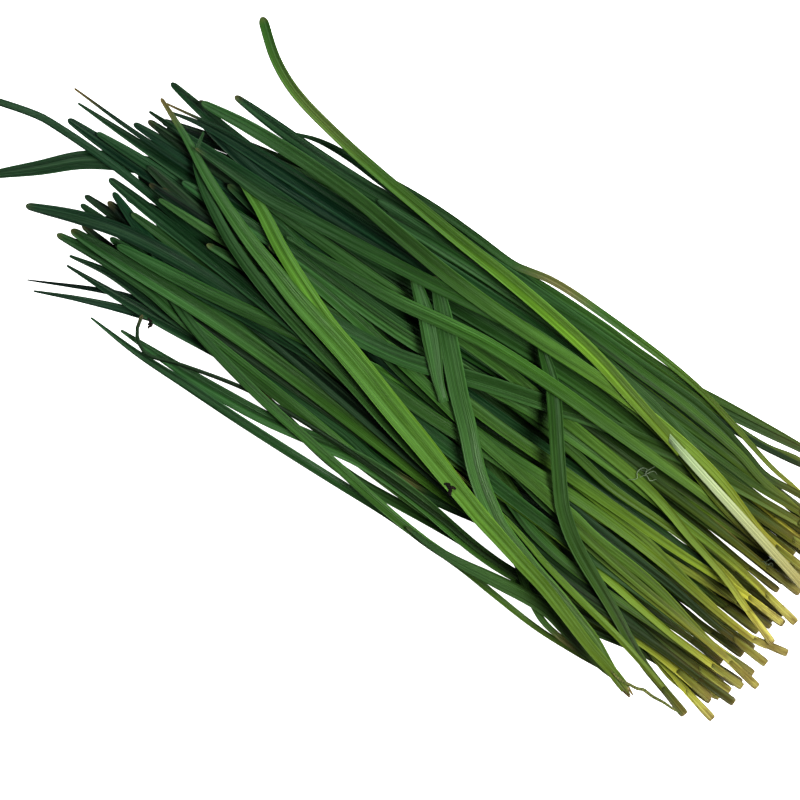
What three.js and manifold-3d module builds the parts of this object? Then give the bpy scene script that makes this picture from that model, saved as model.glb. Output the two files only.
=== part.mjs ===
// A loose bunch of cut garlic chives, lying on a table: about 55 leafy shoots, each of them a
// short sheath, cut off at its foot, with one to four flat strap leaves growing out of its mouth.
// Millimetres. +X runs from the cut feet to the tips, +Z is up, and the bunch lies on Z = 0.
// Each shoot is laid in turn on the heap of those before it, and is one closed body.
import * as THREE from 'three';
import { mergeVertices } from 'three/addons/utils/BufferGeometryUtils.js';
import Module from 'manifold-3d';

const wasm = await Module();
wasm.setup();

// ---- driving dimensions ----
const LEAF_DEPTH = { perWidth: 0.17, least: 0.62, most: 1.2 };  // keel to face, from the width
const LEAF_FOOT = { share: 0.5, length: 0.55 };
const LEAF_TIPS = {
  blunt: { share: 0.45, length: 30, power: 2.2 },
  pointed: { share: 0.2, length: 50, power: 1.6 },
  long: { share: 0.2, length: 120, power: 1.4 },
  full: { share: 0.64, length: 200, power: 1.1 },
};
const TIP_STATION = 9;
const STATION_STEP = 31;        // between two cross-sections of a straight leaf
const TURN_LENGTH = 45;         // a radian of bend counts as this much more length
const GAP = 0.28;               // kept between a leaf and what it lies on
const SIDE_GAP = 0.3;           // and beside it
const SHEATH = { wall: 0.35, leafGap: GAP + 0.04, root: 7, out: 2, length: 15 };
const CREST_RADIUS = 240;       // how tightly a leaf bends down over what holds it up
const VALLEY_RADIUS = 200;      // and how tightly it bends up again
const LIFT = { passes: 40, enough: 0.003, leastShare: 0.04 };
const ROLL = { most: 0.3, own: 0.16, follow: 0.6 };   // radians, and the share of a side slope
const CELL = 0.5;               // size of a cell of the heap's height map
const MAP = { x0: -40, y0: -110, columns: 880, rows: 420 };

// ---- the shoots that show, from the bottom of the heap to its top ----
// foot: the cut end; sheath: its length; leaves: [width, the points that its middle passes over].
const PLACED_SHOOTS = [
  { name: 'near_edge_shoot_1', foot: [6, -52], leaves: [
    [3.6, [[32, -51.6], [50, -50.8], [65, -49.8], [80, -48.6], [100, -49], [115, -50.2], [130, -50.8],
      [145, -51], [158, -50.2], [180, -49]]],
    [4.2, [[31, -50.4], [50, -48.3], [70, -46.6], [90, -46.6], [115, -47.6], [132, -48.2], [150, -48.2],
      [170, -48]]] ] },
  { name: 'near_edge_shoot_2', foot: [4, -48], leaves: [
    [4.4, [[30, -46.6], [40, -44.6], [50, -44.2], [60, -44.8], [90, -46.5], [115, -47.5], [145, -48.5],
      [165, -50.8], [190, -52.4], [215, -52.7], [232, -53.8], [246, -53], [257, -50]], 'pointed'],
    [3.6, [[30, -45], [45, -43.6], [60, -43.2], [85, -44.5], [115, -46.2], [132, -47.6], [150, -48.4],
      [180, -49.2], [222, -49.3]]] ] },
  { name: 'near_edge_shoot_3', foot: [3, -34], leaves: [
    [3.1, [[24, -37], [35, -38.7], [45, -41.4], [60, -45.8], [75, -49.5], [90, -51.8], [105, -53.2],
      [120, -54.2], [135, -54.9], [145, -54.5], [152, -53.2], [159, -52.1], [175, -53.4],
      [190, -54.4], [205, -54.7], [222, -54.4]]],
    [5.0, [[24, -35.5], [37, -34.8], [47, -37.8], [60, -41.4], [75, -44], [110, -45.4], [140, -46.8],
      [170, -47.6], [200, -47.4], [225, -47.3], [250, -48], [282, -50.3]]] ] },
  { name: 'near_side_shoot_1', foot: [4, -29], leaves: [
    [4.8, [[30, -31], [60, -34.3], [98, -37], [120, -41], [145, -44], [180, -45.2], [210, -44],
      [240, -43.6], [265, -43], [292, -41]]],
    [4.6, [[25, -31], [37, -32.6], [50, -36.5], [75, -40.5], [98, -42.5], [125, -44.5], [160, -44],
      [215, -45]]],
    [5.0, [[40, -29.5], [70, -31.5], [100, -35.5], [150, -39], [200, -38], [230, -35.5], [255, -35],
      [280, -37.3], [304, -41.3]]] ] },
  { name: 'near_side_shoot_2', foot: [0, -23], leaves: [
    [5.2, [[60, -28], [98, -26], [128, -28], [180, -30], [220, -29], [255, -29.5], [270, -31.7],
      [288, -35.2]]],
    [4.2, [[50, -26], [120, -30], [200, -33], [260, -34.3], [285, -34], [299, -31.5]], 'pointed'],
    [4.0, [[50, -27], [110, -34], [170, -37], [220, -37], [270, -37], [301, -33.6]], 'long'] ] },
  { name: 'wide_leaf_shoot', foot: [2, -19], leaves: [
    [5.4, [[60, -22], [120, -24], [200, -24.5], [250, -26], [280, -26.8], [305, -27.8]], 'pointed'],
    [7.2, [[60, -22], [120, -27], [200, -26], [250, -22], [285, -13], [300, -8], [316, 0.5], [329, 12],
      [341, 22], [350, 30]], 'pointed'] ] },
  { name: 'far_reaching_shoot', foot: [2, 9], leaves: [
    [4.2, [[60, 8], [120, 8], [180, 8], [240, 5], [270, 1], [290, -2], [310, -4], [335, -4.8],
      [342, -4], [355, -1], [374, 4]], 'full'],
    [5.2, [[70, 3], [130, 0], [200, -3], [250, -6], [290, -7.6], [329, -9.2]]],
    [4.4, [[70, 6], [130, 8], [190, 10], [250, 12], [285, 12.5], [309, 11.6]]] ] },
  { name: 'middle_shoot_1', foot: [-1, -10], leaves: [
    [4.4, [[80, -10], [160, -9], [240, -8], [290, -10.5], [317, -10.6]]],
    [4.4, [[80, -14], [160, -14], [240, -13], [290, -15], [329, -16.3]], 'pointed'],
    [4.2, [[80, -17], [160, -18], [230, -17], [300, -18], [333, -20.2]], 'long'] ] },
  { name: 'middle_shoot_2', foot: [3, -4], leaves: [
    [5.0, [[50, -8], [90, -12], [130, -15], [180, -17], [240, -19], [280, -20.5], [307, -20.8]]],
    [5.4, [[50, -9], [100, -10], [160, -6], [220, -3], [262, -4.5], [294, -10]]],
    [5.0, [[50, -9], [100, -13], [160, -17], [220, -21], [265, -22.5], [303, -24.5]]] ] },
  { name: 'far_side_shoot_1', foot: [4, 36], leaves: [
    [3.8, [[60, 33], [120, 33], [190, 33], [250, 34], [270, 38.8], [290, 45.5], [307, 52.3]], 'pointed'],
    [2.6, [[80, 32], [160, 33], [240, 33], [272, 34.5], [285, 38.5], [311, 50]], 'pointed'],
    [4.6, [[70, 36], [140, 36], [200, 34], [235, 35], [265, 36.8], [301, 37.4]], 'pointed'] ] },
  { name: 'far_side_shoot_2', foot: [6, 41], leaves: [
    [5.4, [[60, 38], [115, 35.5], [133, 37.6], [150, 39.2], [165, 38.4], [180, 35.6], [240, 32.5],
      [260, 32.5], [285, 31.4], [302, 33.8]], 'pointed'],
    [4.4, [[60, 36], [130, 34], [200, 31], [250, 28.5], [278, 25], [304, 21.5]]] ] },
  { name: 'far_edge_shoot_1', foot: [8, 45], leaves: [
    [4.0, [[40, 46], [70, 47.6], [100, 47.6], [110, 47.1], [120, 46.5], [132, 46.7], [150, 47.6],
      [165, 48.2], [178, 47.3],
      [190, 45], [205, 41.5], [225, 37.5], [245, 35]], 'pointed'],
    [5.0, [[60, 45], [90, 46.5], [105, 47], [115, 46.3], [130, 44.4], [150, 43], [173, 40.8],
      [190, 38.5],
      [230, 34], [255, 31], [270, 28.5], [290, 28], [310, 29.4]]],
    [5.6, [[60, 44.6], [85, 46.2], [103, 46.9], [115, 46.2], [125, 44.8], [140, 42.4], [155, 41],
      [170, 41], [182, 42.6], [195, 44.6],
      [208, 46.4], [225, 47.5], [245, 47.8], [271, 47.3]], 'pointed'] ] },
  { name: 'far_edge_shoot_2', foot: [11, 48], leaves: [
    [3.8, [[30, 46], [45, 46.6], [60, 49], [75, 50.4], [90, 51.2], [107, 53], [120, 54.2], [131, 54],
      [140, 53.2], [150, 52.6], [170, 52.6], [190, 52.5], [215, 52.2], [240, 51.5],
      [262, 51.2], [283, 49.2]], 'pointed'],
    [2.2, [[60, 45.5], [90, 46.8], [110, 46.2], [120, 45.2], [131, 43.4], [170, 40.4], [200, 40],
      [220, 41.2], [245, 46.2], [258, 49.6], [265, 45], [267, 38]], 'full'] ] },
  { name: 'far_edge_shoot_3', foot: [41, 59.2], sheath: 8, leaves: [
    [3.8, [[60, 59.4], [80, 59.2], [100, 57], [115, 55], [131, 53.8], [143, 52.6], [152, 51.3],
      [165, 49.2], [175, 47.3], [190, 44.8], [210, 41.3], [232, 36.3], [250, 31], [268, 23],
      [283, 15.6]]],
    [4.4, [[60, 58.2], [70, 57.5], [79, 55.8], [86, 52.2], [92, 47.8], [100, 41.8], [112, 37], [150, 33],
      [200, 27], [250, 20], [285, 17], [308, 15.2]]],
    [5.6, [[50, 58.4], [60, 56.6], [70, 54.2], [80, 51.4], [90, 51.1], [100, 52], [107, 52.7],
      [115, 53.6], [122, 54], [131, 53.9], [141, 52.9]], 'pointed'] ] },
  { name: 'crossing_shoot_1', foot: [7, 53], leaves: [
    [4.8, [[30, 47.5], [55, 38], [90, 31], [124, 17], [150, 8], [178, 1], [210, -8], [235, -16],
      [258, -21]]],
    [5.0, [[30, 46], [60, 39], [100, 34], [150, 31], [200, 26], [250, 22], [292, 20]]] ] },
  { name: 'crossing_shoot_2', foot: [12, 47], leaves: [
    [4.2, [[40, 42], [70, 36], [103, 29], [130, 24], [150, 18], [170, 11], [190, 3], [220, -9],
      [240, -16]]],
    [6.0, [[40, 43], [80, 41], [110, 35], [140, 34], [190, 29], [240, 25.5], [306, 25.2]]] ] },
  { name: 'middle_shoot_3', foot: [4, 43.5], leaves: [
    [4.6, [[20, 42.5], [35, 40.7], [50, 38.3], [90, 34], [130, 29], [170, 19], [205, 8], [240, 0],
      [285, -6]]],
    [5.4, [[20, 42.5], [35, 41], [90, 38], [150, 30], [210, 21], [260, 15], [300, 9]]] ] },
  { name: 'middle_shoot_4', foot: [4, 37], leaves: [
    [5.0, [[40, 35], [80, 33], [100, 29.5], [122, 21.5], [170, 17], [230, 18], [262, 19], [280, 13],
      [300, 5]]],
    [4.6, [[40, 34], [90, 26], [140, 22], [190, 18], [240, 12], [290, 8]]] ] },
  { name: 'middle_shoot_5', foot: [3, 31], leaves: [
    [5.8, [[40, 28.5], [100, 24], [150, 19], [200, 15.5], [250, 13.5], [285, 15], [305, 19.5],
      [325, 26.5]]],
    [5.2, [[20, 30], [50, 27], [78, 23], [97, 18], [115, 14.5], [135, 11], [170, 9], [210, 13],
      [250, 18], [288, 21]]] ] },
  { name: 'middle_shoot_6', foot: [0.5, 25], leaves: [
    [5.4, [[25, 22.7], [50, 19], [70, 17], [97, 18.5], [125, 12.5], [170, 12], [210, 12], [250, 7.5],
      [304, 1.5]]],
    [4.6, [[25, 22.7], [45, 19.5], [70, 16.8], [90, 14.5], [120, 11], [170, 6], [220, 0],
      [265, -3.6], [290, -4.8]]] ] },
  { name: 'middle_shoot_7', foot: [-4, 17.5], leaves: [
    [3.8, [[12, 20], [30, 17], [60, 10], [85, 7], [105, 4.6], [125, 3.5], [145, 2], [175, 1],
      [220, -2], [262, -1.6], [284, -1.8]]],
    [5.0, [[12, 20], [60, 13], [90, 10.5], [130, 10], [155, 7.5], [178, 3.2], [210, -8], [235, -15],
      [265, -20]]] ] },
  { name: 'middle_shoot_9', foot: [3, 9], leaves: [
    [4.0, [[20, 7], [33, 3.8], [60, 1], [85, -0.2], [105, -4], [125, -6.5], [155, -9], [185, -10],
      [230, -13]]],
    [4.8, [[20, 7.5], [50, 7], [90, 5], [130, 3], [170, 0], [210, 1], [260, 3]]] ] },
  { name: 'middle_shoot_10', foot: [-1, 6.3], leaves: [
    [5.2, [[20, 1.6], [35, -1], [52, -3], [80, -6], [120, -8.5], [150, -7.5], [185, -7], [240, -11],
      [280, -12]]] ] },
  { name: 'middle_shoot_8', foot: [-0.5, 34], leaves: [
    [5.0, [[15, 31], [25, 29], [35, 26.5], [48, 23], [60, 21], [80, 19], [92, 16.5], [120, 13.5],
      [160, 13], [195, 9.5], [220, 5.4], [238, 2.5]]],
    [4.4, [[15, 31], [35, 28], [60, 24.5], [80, 21], [105, 15.5], [135, 10.5], [165, 4], [200, -3],
      [240, -9]]] ] },
  { name: 'middle_shoot_11', foot: [3, 17.3], leaves: [
    [4.8, [[20, 10.7], [30, 6.3], [40, 3], [50, 0], [60, -3.5], [70, -6.4], [80, -8.3], [100, -10.8],
      [120, -13.2], [140, -16], [170, -18], [200, -19], [262, -23]]] ] },
  { name: 'crossing_shoot_3', foot: [2, -27], leaves: [
    [6.2, [[60, -24], [100, -18.5], [120, -14], [140, -9.3], [152, -6], [178, 0.8], [205, 3],
      [240, 3]]] ] },
  { name: 'crossing_shoot_4', foot: [17, 57], sheath: 12, leaves: [
    [5.6, [[40, 49], [50, 43.8], [60, 38.2], [70, 33], [80, 27.8], [88, 22.8], [93, 18.8], [97, 15],
      [104.7, 5], [110, -2.4], [115, -9.5], [119, -15], [124, -21.3], [132, -28.5], [138, -34]]],
    [3.8, [[40, 49.4], [55, 45.2], [75, 40.8], [90, 37], [100, 33.8], [110, 31], [122, 28.5],
      [140, 25]], 'long'] ] },
  { name: 'hero_shoot', foot: [36, 62.2], sheath: 12, leaves: [
    [7.2, [[60, 51.4], [70, 47.9], [80, 44.6], [95, 40.4], [112, 34.5], [118, 30.7],
      [124, 26.5], [131.5, 20.3],
      [141, 10.3], [151, 0.6], [160, -9], [168, -17.5], [176, -26], [182, -31.5]]],
    [4.4, [[70, 50], [90, 43.5], [110, 37.8], [135, 31.5], [150, 28.6], [165, 24.8], [185, 19],
      [210, 12.3], [230, 6.5], [250, -1.3], [265, -9.5], [274, -15.5], [280.5, -22],
      [283, -32]], 'pointed'],
    [5.4, [[60, 54], [85, 44.5], [110, 37], [130, 30.6], [150, 23], [170, 16], [190, 8.8], [205, 4],
      [220, -2.6], [235, -10], [250, -18.8], [263, -24.6]]],
    [7.8, [[60, 54.3], [85, 45], [100, 40.7], [110, 37.8], [120, 35], [130, 31.6], [140, 28.3],
      [150, 24.8], [160, 21.5], [170, 18.2], [190, 11.3], [200, 8.3], [220, 2.8], [234, -2.2],
      [245, -6], [255, -10], [265, -14.5], [275, -19.5], [282, -23.5], [290, -27.8],
      [303, -34]], 'long'] ] },
  { name: 'short_crossing_leaf', foot: [154, 6], sheath: 0, leaves: [
    [7.0, [[160.5, 0.2], [165, -5], [170, -10.7], [176, -17], [182, -22.3], [189, -28.3]]] ] },
  { name: 'long_light_shoot', foot: [2, -8], leaves: [
    [5.2, [[20, -10], [32, -13], [45, -14.9], [60, -16.4], [80, -17.7], [100, -18.9], [120, -20.3],
      [150, -20.8], [165, -19.5], [190, -16.4], [215, -15.5], [236, -15]], 'pointed'],
    [5.0, [[45, -16], [75, -26], [110, -31.5], [140, -33], [157, -31.3], [175, -29.4], [190, -28],
      [210, -26.4], [230, -25], [250, -23.2], [265, -24], [282, -25]], 'pointed'] ] },
  { name: 'near_side_shoot_3', foot: [5, -12], leaves: [
    [4.6, [[22, -13], [30, -16], [40, -19.2], [50, -22.8], [60, -26.2], [70, -29.3], [90, -34.6],
      [130, -40], [170, -42], [210, -42]]],
    [5.6, [[30, -16], [50, -23.5], [70, -28], [103, -31.3], [140, -32.2], [160, -33], [180, -34.8],
      [200, -37.6], [220, -40.6], [245, -42.4], [270, -42.4], [290, -41]]] ] },
  { name: 'white_sheathed_shoot', foot: [3, -6.5], sheath: 76, leaves: [
    [6.0, [[95, -32.2], [110, -36.6], [120, -39], [140, -42.6], [160, -45.6], [180, -48], [200, -50.8],
      [220, -53.7], [240, -57.4], [262, -63], [276, -70], [289, -81]], 'full'] ] },
];

// ---- the shoots under them, by rule ----
const FILLING = { shoots: 24, leaves: 5, seed: 41, widths: [3.0, 5.8], feet: [3, 15], tips: [262, 300] };
const HEAP_EDGES = {
  far: [[0, 44], [60, 43], [95, 36], [130, 34], [160, 37], [220, 34], [265, 29], [310, 24]],
  near: [[0, -33], [40, -33], [90, -41], [150, -42], [220, -42], [270, -38], [310, -24]],
};

// ---- small helpers ----
const lerp = (a, b, t) => a + (b - a) * t;
const clamp = (value, low, high) => Math.min(high, Math.max(low, value));
const smooth = t => { const s = clamp(t, 0, 1); return s * s * (3 - 2 * s); };

function seededRandom(seed) {
  let state = seed >>> 0;
  return () => {
    state = (state + 0x6d2b79f5) >>> 0;
    let t = state;
    t = Math.imul(t ^ (t >>> 15), t | 1);
    t ^= t + Math.imul(t ^ (t >>> 7), t | 61);
    return ((t ^ (t >>> 14)) >>> 0) / 4294967296;
  };
}

function alongTable(table, x) {
  const last = table.length - 1;
  if (x <= table[0][0]) return table[0][1];
  for (let i = 0; i < last; i += 1) {
    const [x0, y0] = table[i];
    const [x1, y1] = table[i + 1];
    if (x <= x1) return lerp(y0, y1, (x - x0) / (x1 - x0));
  }
  return table[last][1];
}

// A smooth plan curve through the points, sampled about every millimetre: [x, y, heading].
function planCurve(points) {
  const spans = points.slice(1).map((p, i) => Math.hypot(p[0] - points[i][0], p[1] - points[i][1]));
  const slope = (i, axis) => {
    const a = Math.max(i - 1, 0);
    const b = Math.min(i + 1, points.length - 1);
    let length = 0;
    for (let k = a; k < b; k += 1) length += spans[k];
    return (points[b][axis] - points[a][axis]) / length;
  };
  const samples = [];
  for (let i = 0; i < spans.length; i += 1) {
    const steps = Math.max(1, Math.round(spans[i]));
    for (let k = i === 0 ? 0 : 1; k <= steps; k += 1) {
      const t = k / steps;
      const place = [0, 1].map(axis => {
        const rise = slope(i, axis) * spans[i];
        const next = slope(i + 1, axis) * spans[i];
        const p = points[i][axis];
        const q = points[i + 1][axis];
        return p + t * rise + t * t * (3 * (q - p) - 2 * rise - next)
          + t * t * t * (2 * (p - q) + rise + next);
      });
      samples.push(place);
    }
  }
  return samples.map(([x, y], i) => {
    const before = samples[Math.max(i - 1, 0)];
    const after = samples[Math.min(i + 1, samples.length - 1)];
    return [x, y, Math.atan2(after[1] - before[1], after[0] - before[0])];
  });
}

// ---- the heap's height map ----
const heap = new Float64Array(MAP.columns * MAP.rows).fill(-GAP);
const cellOf = (x, y) => {
  const column = clamp(Math.round((x - MAP.x0) / CELL), 0, MAP.columns - 1);
  const row = clamp(Math.round((y - MAP.y0) / CELL), 0, MAP.rows - 1);
  return row * MAP.columns + column;
};

// ---- one leaf: its cross-sections in plan ----
// How wide a leaf is at s, as a share of its full width: narrow at the foot and at the tip.
function widthShare(s, length, tip) {
  const grown = lerp(LEAF_FOOT.share, 1, smooth(s / (LEAF_FOOT.length * length)));
  const toTip = clamp((s - (length - tip.length)) / tip.length, 0, 1);
  return grown * (1 - (1 - tip.share) * toTip ** tip.power);
}

// A section is { x, y, heading, half, depth, roll, z }: z is the middle of its flat upper face.
function leafSections(curve, width, tip, startAt, random) {
  const length = curve.length - 1;
  const measure = [0];
  for (let i = 1; i <= length; i += 1) {
    let turn = Math.abs(curve[i][2] - curve[i - 1][2]);
    if (turn > Math.PI) turn = 2 * Math.PI - turn;
    measure.push(measure[i - 1] + 1 + TURN_LENGTH * turn);
  }
  const marks = [startAt - SHEATH.root, startAt + SHEATH.out].map(s => Math.max(0, Math.round(s)));
  const first = marks[marks.length - 1];
  const share = measure[length - TIP_STATION] - measure[first];
  const count = Math.max(2, Math.round(share / STATION_STEP));
  let at = first;
  for (let k = 1; k <= count; k += 1) {
    const goal = measure[first] + (share * k) / count;
    while (at < length && measure[at] < goal - 1e-9) at += 1;
    marks.push(at);
  }
  marks.push(length);
  const wave = { size: ROLL.own * random(), start: random(), per: 180 + 300 * random() };
  return marks.map(s => {
    const wide = width * widthShare(s, length, LEAF_TIPS[tip]);
    return {
      s, x: curve[s][0], y: curve[s][1], heading: curve[s][2], half: wide / 2,
      depth: clamp(wide * LEAF_DEPTH.perWidth, LEAF_DEPTH.least, LEAF_DEPTH.most),
      roll: wave.size * Math.sin(2 * Math.PI * (wave.start + s / wave.per)), z: 0,
    };
  });
}

// Calls visit(segment, share, across, x, y) over the strip between the sections.
function overStrip(sections, spare, visit) {
  for (let i = 0; i + 1 < sections.length; i += 1) {
    const a = sections[i];
    const b = sections[i + 1];
    const steps = Math.max(1, Math.ceil(Math.hypot(b.x - a.x, b.y - a.y) / CELL));
    for (let k = 0; k <= steps; k += 1) {
      const t = k / steps;
      const half = lerp(a.half, b.half, t) + spare;
      const columns = Math.ceil(half / CELL);
      const side = [lerp(-Math.sin(a.heading), -Math.sin(b.heading), t),
        lerp(Math.cos(a.heading), Math.cos(b.heading), t)];
      const x = lerp(a.x, b.x, t);
      const y = lerp(a.y, b.y, t);
      for (let c = -columns; c <= columns; c += 1) {
        const across = (half * c) / columns;
        visit(i, t, across, x + side[0] * across, y + side[1] * across);
      }
    }
  }
}

// Heights that clear `need` (one value a millimetre), bending no tighter than the two radii.
function drape(need) {
  const reach = (heights, radius, sign) => heights.map((_, i) => {
    let best = -Infinity;
    for (let k = 0; k < heights.length; k += 1) {
      best = Math.max(best, sign * heights[k] - ((i - k) ** 2) / (2 * radius));
    }
    return sign * best;
  });
  const hung = reach(need, CREST_RADIUS, 1);
  return reach(reach(hung, VALLEY_RADIUS, 1), VALLEY_RADIUS, -1);
}

// Rolls each section with the side slope of what lies under it.
function settleRoll(sections) {
  const slopes = sections.map(() => ({ left: -1e9, right: -1e9 }));
  overStrip(sections, 0, (i, t, across, x, y) => {
    const near = slopes[t < 0.5 ? i : i + 1];
    const height = heap[cellOf(x, y)];
    if (across > 0.3) near.left = Math.max(near.left, height);
    if (across < -0.3) near.right = Math.max(near.right, height);
  });
  const raw = sections.map((section, i) => Math.atan2(slopes[i].left - slopes[i].right,
    2.4 * section.half));
  sections.forEach((section, i) => {
    const a = raw[Math.max(i - 1, 0)];
    const b = raw[Math.min(i + 1, raw.length - 1)];
    section.roll = clamp(section.roll + ROLL.follow * (a + 2 * raw[i] + b) / 4, -ROLL.most, ROLL.most);
  });
}

// Lays one leaf on the heap. A `pinned` leaf has its first two sections held in the sheath.
function layLeaf(sections, sheathDepth, pinned) {
  settleRoll(sections);
  if (sheathDepth > 0 || pinned) sections.slice(0, 2).forEach(section => { section.roll = 0; });
  const start = sections[0].s;
  const need = new Array(sections[sections.length - 1].s - start + 1).fill(-1e9);
  overStrip(sections, SIDE_GAP, (i, t, across, x, y) => {
    const a = sections[i];
    const b = sections[i + 1];
    const half = lerp(a.half, b.half, t);
    const keel = lerp(a.depth, b.depth, t) * (1 - Math.min(1, Math.abs(across) / half));
    const under = i === 0 && sheathDepth > 0 ? sheathDepth : keel;
    const level = heap[cellOf(x, y)] + GAP + under - across * Math.sin(lerp(a.roll, b.roll, t));
    const at = lerp(a.s, b.s, t) - start;
    [Math.floor(at), Math.ceil(at)].forEach(k => { need[k] = Math.max(need[k], level); });
  });
  if (pinned) {
    const mouth = sections[1].s - start;
    for (let i = 0; i <= mouth; i += 1) need[i] = lerp(pinned[0], pinned[1], i / mouth);
  }
  const heights = drape(need);
  sections.forEach(section => { section.z = heights[section.s - start]; });
  if (pinned) [sections[0].z, sections[1].z] = pinned;
  liftClear(sections, need, Boolean(pinned));
}

// Raises sections until the straight stretches between them clear `need` too.
function liftClear(sections, need, held) {
  const start = sections[0].s;
  for (let pass = 0; pass < LIFT.passes; pass += 1) {
    let worst = 0;
    for (let i = held ? 1 : 0; i + 1 < sections.length; i += 1) {
      const a = sections[i];
      const b = sections[i + 1];
      const fixed = held && i === 1;
      for (let s = a.s; s <= b.s; s += 1) {
        const t = (s - a.s) / (b.s - a.s);
        const short = need[s - start] - lerp(a.z, b.z, t);
        const share = fixed ? t * t : (1 - t) ** 2 + t * t;
        if (short > LIFT.enough && share > LIFT.leastShare) {
          if (!fixed) a.z += (short * (1 - t)) / share;
          b.z += (short * t) / share;
          worst = Math.max(worst, short);
        }
      }
    }
    if (worst === 0) break;
  }
}

// Adds a laid leaf to the height map.
function addToHeap(sections) {
  overStrip(sections, SIDE_GAP, (i, t, across, x, y) => {
    const a = sections[i];
    const b = sections[i + 1];
    const half = lerp(a.half, b.half, t);
    const level = lerp(a.z, b.z, t)
      + clamp(across, -half, half) * Math.sin(lerp(a.roll, b.roll, t));
    const cell = cellOf(x, y);
    heap[cell] = Math.max(heap[cell], level);
  });
}

// ---- solids ----
function closedRings(rings) {
  const sides = rings[0].length;
  const positions = rings.flat(2);
  const faces = [];
  for (let i = 0; i + 1 < rings.length; i += 1) {
    for (let k = 0; k < sides; k += 1) {
      const a = i * sides + k;
      const b = i * sides + ((k + 1) % sides);
      faces.push(a, a + sides, b, b, a + sides, b + sides);
    }
  }
  const end = (rings.length - 1) * sides;
  for (let k = 1; k + 1 < sides; k += 1) {
    faces.push(0, k, k + 1);
    faces.push(end, end + k + 1, end + k);
  }
  const geometry = new THREE.BufferGeometry();
  geometry.setAttribute('position', new THREE.Float32BufferAttribute(positions, 3));
  geometry.setIndex(faces);
  return geometry;
}

function solidOf(geometry) {
  const bare = geometry.clone();
  bare.deleteAttribute('normal');
  bare.deleteAttribute('uv');
  const merged = mergeVertices(bare, 1e-5);
  return new wasm.Manifold(new wasm.Mesh({
    numProp: 3,
    vertProperties: Float32Array.from(merged.getAttribute('position').array),
    triVerts: Uint32Array.from(merged.index.array),
  }));
}

function geometryOf(solid) {
  const mesh = solid.getMesh();
  const geometry = new THREE.BufferGeometry();
  geometry.setAttribute('position', new THREE.BufferAttribute(Float32Array.from(mesh.vertProperties), 3));
  geometry.setIndex(new THREE.BufferAttribute(Uint32Array.from(mesh.triVerts), 1));
  geometry.computeVertexNormals();
  return geometry;
}

// A strap leaf: flat above, with a keel along the middle below.
function leafSolid(sections) {
  return solidOf(closedRings(sections.map(section => {
    const side = [-Math.sin(section.heading), Math.cos(section.heading)];
    const flat = section.half * Math.cos(section.roll);
    const rise = section.half * Math.sin(section.roll);
    const sag = section.depth * Math.sin(section.roll);
    return [
      [section.x + side[0] * flat, section.y + side[1] * flat, section.z + rise],
      [section.x + side[0] * sag, section.y + side[1] * sag,
        section.z - section.depth * Math.cos(section.roll)],
      [section.x - side[0] * flat, section.y - side[1] * flat, section.z - rise],
    ];
  })));
}

// A sheath: a straight six-sided tube, flat above and below, round the roots of its leaves.
function sheathSolid(line, above, depth) {
  return solidOf(closedRings(line.map(end => {
    const side = [-Math.sin(end.heading) * end.half, Math.cos(end.heading) * end.half];
    const top = end.z + above;
    const bottom = top - depth;
    const waist = (top + bottom) / 2;
    return [[1, waist], [0.5, bottom], [-0.5, bottom], [-1, waist], [-0.5, top], [0.5, top]]
      .map(([across, z]) => [end.x + side[0] * across, end.y + side[1] * across, z]);
  })));
}

// ---- one shoot ----
function layShoot({ foot, sheath = SHEATH.length, leaves }, random) {
  const heads = leaves.map(([, points]) => points[0]);
  const aim = [0, 1].map(axis => heads.reduce((sum, p) => sum + p[axis], 0) / heads.length);
  const heading = Math.atan2(aim[1] - foot[1], aim[0] - foot[0]);
  const mouth = [foot[0] + sheath * Math.cos(heading), foot[1] + sheath * Math.sin(heading)];
  const half = (Math.max(...leaves.map(([width]) => width)) * LEAF_FOOT.share) / 2;
  const rootDepth = clamp(2 * half * LEAF_DEPTH.perWidth, LEAF_DEPTH.least, LEAF_DEPTH.most);
  const layer = rootDepth + SHEATH.leafGap;
  const line = [{ x: foot[0], y: foot[1] }, { x: mouth[0], y: mouth[1] }]
    .map(end => ({ ...end, s: 0, heading, half: half + SHEATH.wall, depth: 0, roll: 0, z: 0 }));
  line[1].s = sheath;
  const lineAt = s => lerp(line[0].z, line[1].z, s / sheath);
  const laid = [];
  leaves.forEach(([width, points, tip = 'blunt'], k) => {
    const start = sheath > 0 ? [foot, mouth] : [foot];
    const curve = planCurve([...start, ...points.filter(p => p[0] > mouth[0] + 4)]);
    const sections = leafSections(curve, width, tip, sheath, random);
    if (sheath === 0) {
      layLeaf(sections, 0);
    } else if (k === 0) {
      const strip = [line[0], { ...sections[1], half: line[0].half }, ...sections.slice(2)];
      layLeaf(strip, rootDepth + SHEATH.wall);
      line[1].z = lerp(strip[0].z, strip[1].z, sheath / strip[1].s);
      strip.slice(2).forEach(({ z, roll }, i) => { Object.assign(sections[i + 2], { z, roll }); });
    }
    if (sheath > 0) {
      const pinned = sections.slice(0, 2).map(section => lineAt(section.s) + k * layer);
      if (k > 0) layLeaf(sections, 0, pinned);
      pinned.forEach((z, i) => { Object.assign(sections[i], { z, roll: 0, heading }); });
    }
    laid.push(sections);
    addToHeap(sections.slice(sheath > 0 ? 1 : 0));
  });
  const solids = laid.map(leafSolid);
  if (sheath > 0) {
    const above = (leaves.length - 1) * layer + SHEATH.wall;
    addToHeap(line.map(end => ({ ...end, z: end.z + above })));
    solids.push(sheathSolid(line, above, above + rootDepth + SHEATH.wall));
  }
  return solids.reduce((whole, solid) => whole.add(solid));
}

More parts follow.
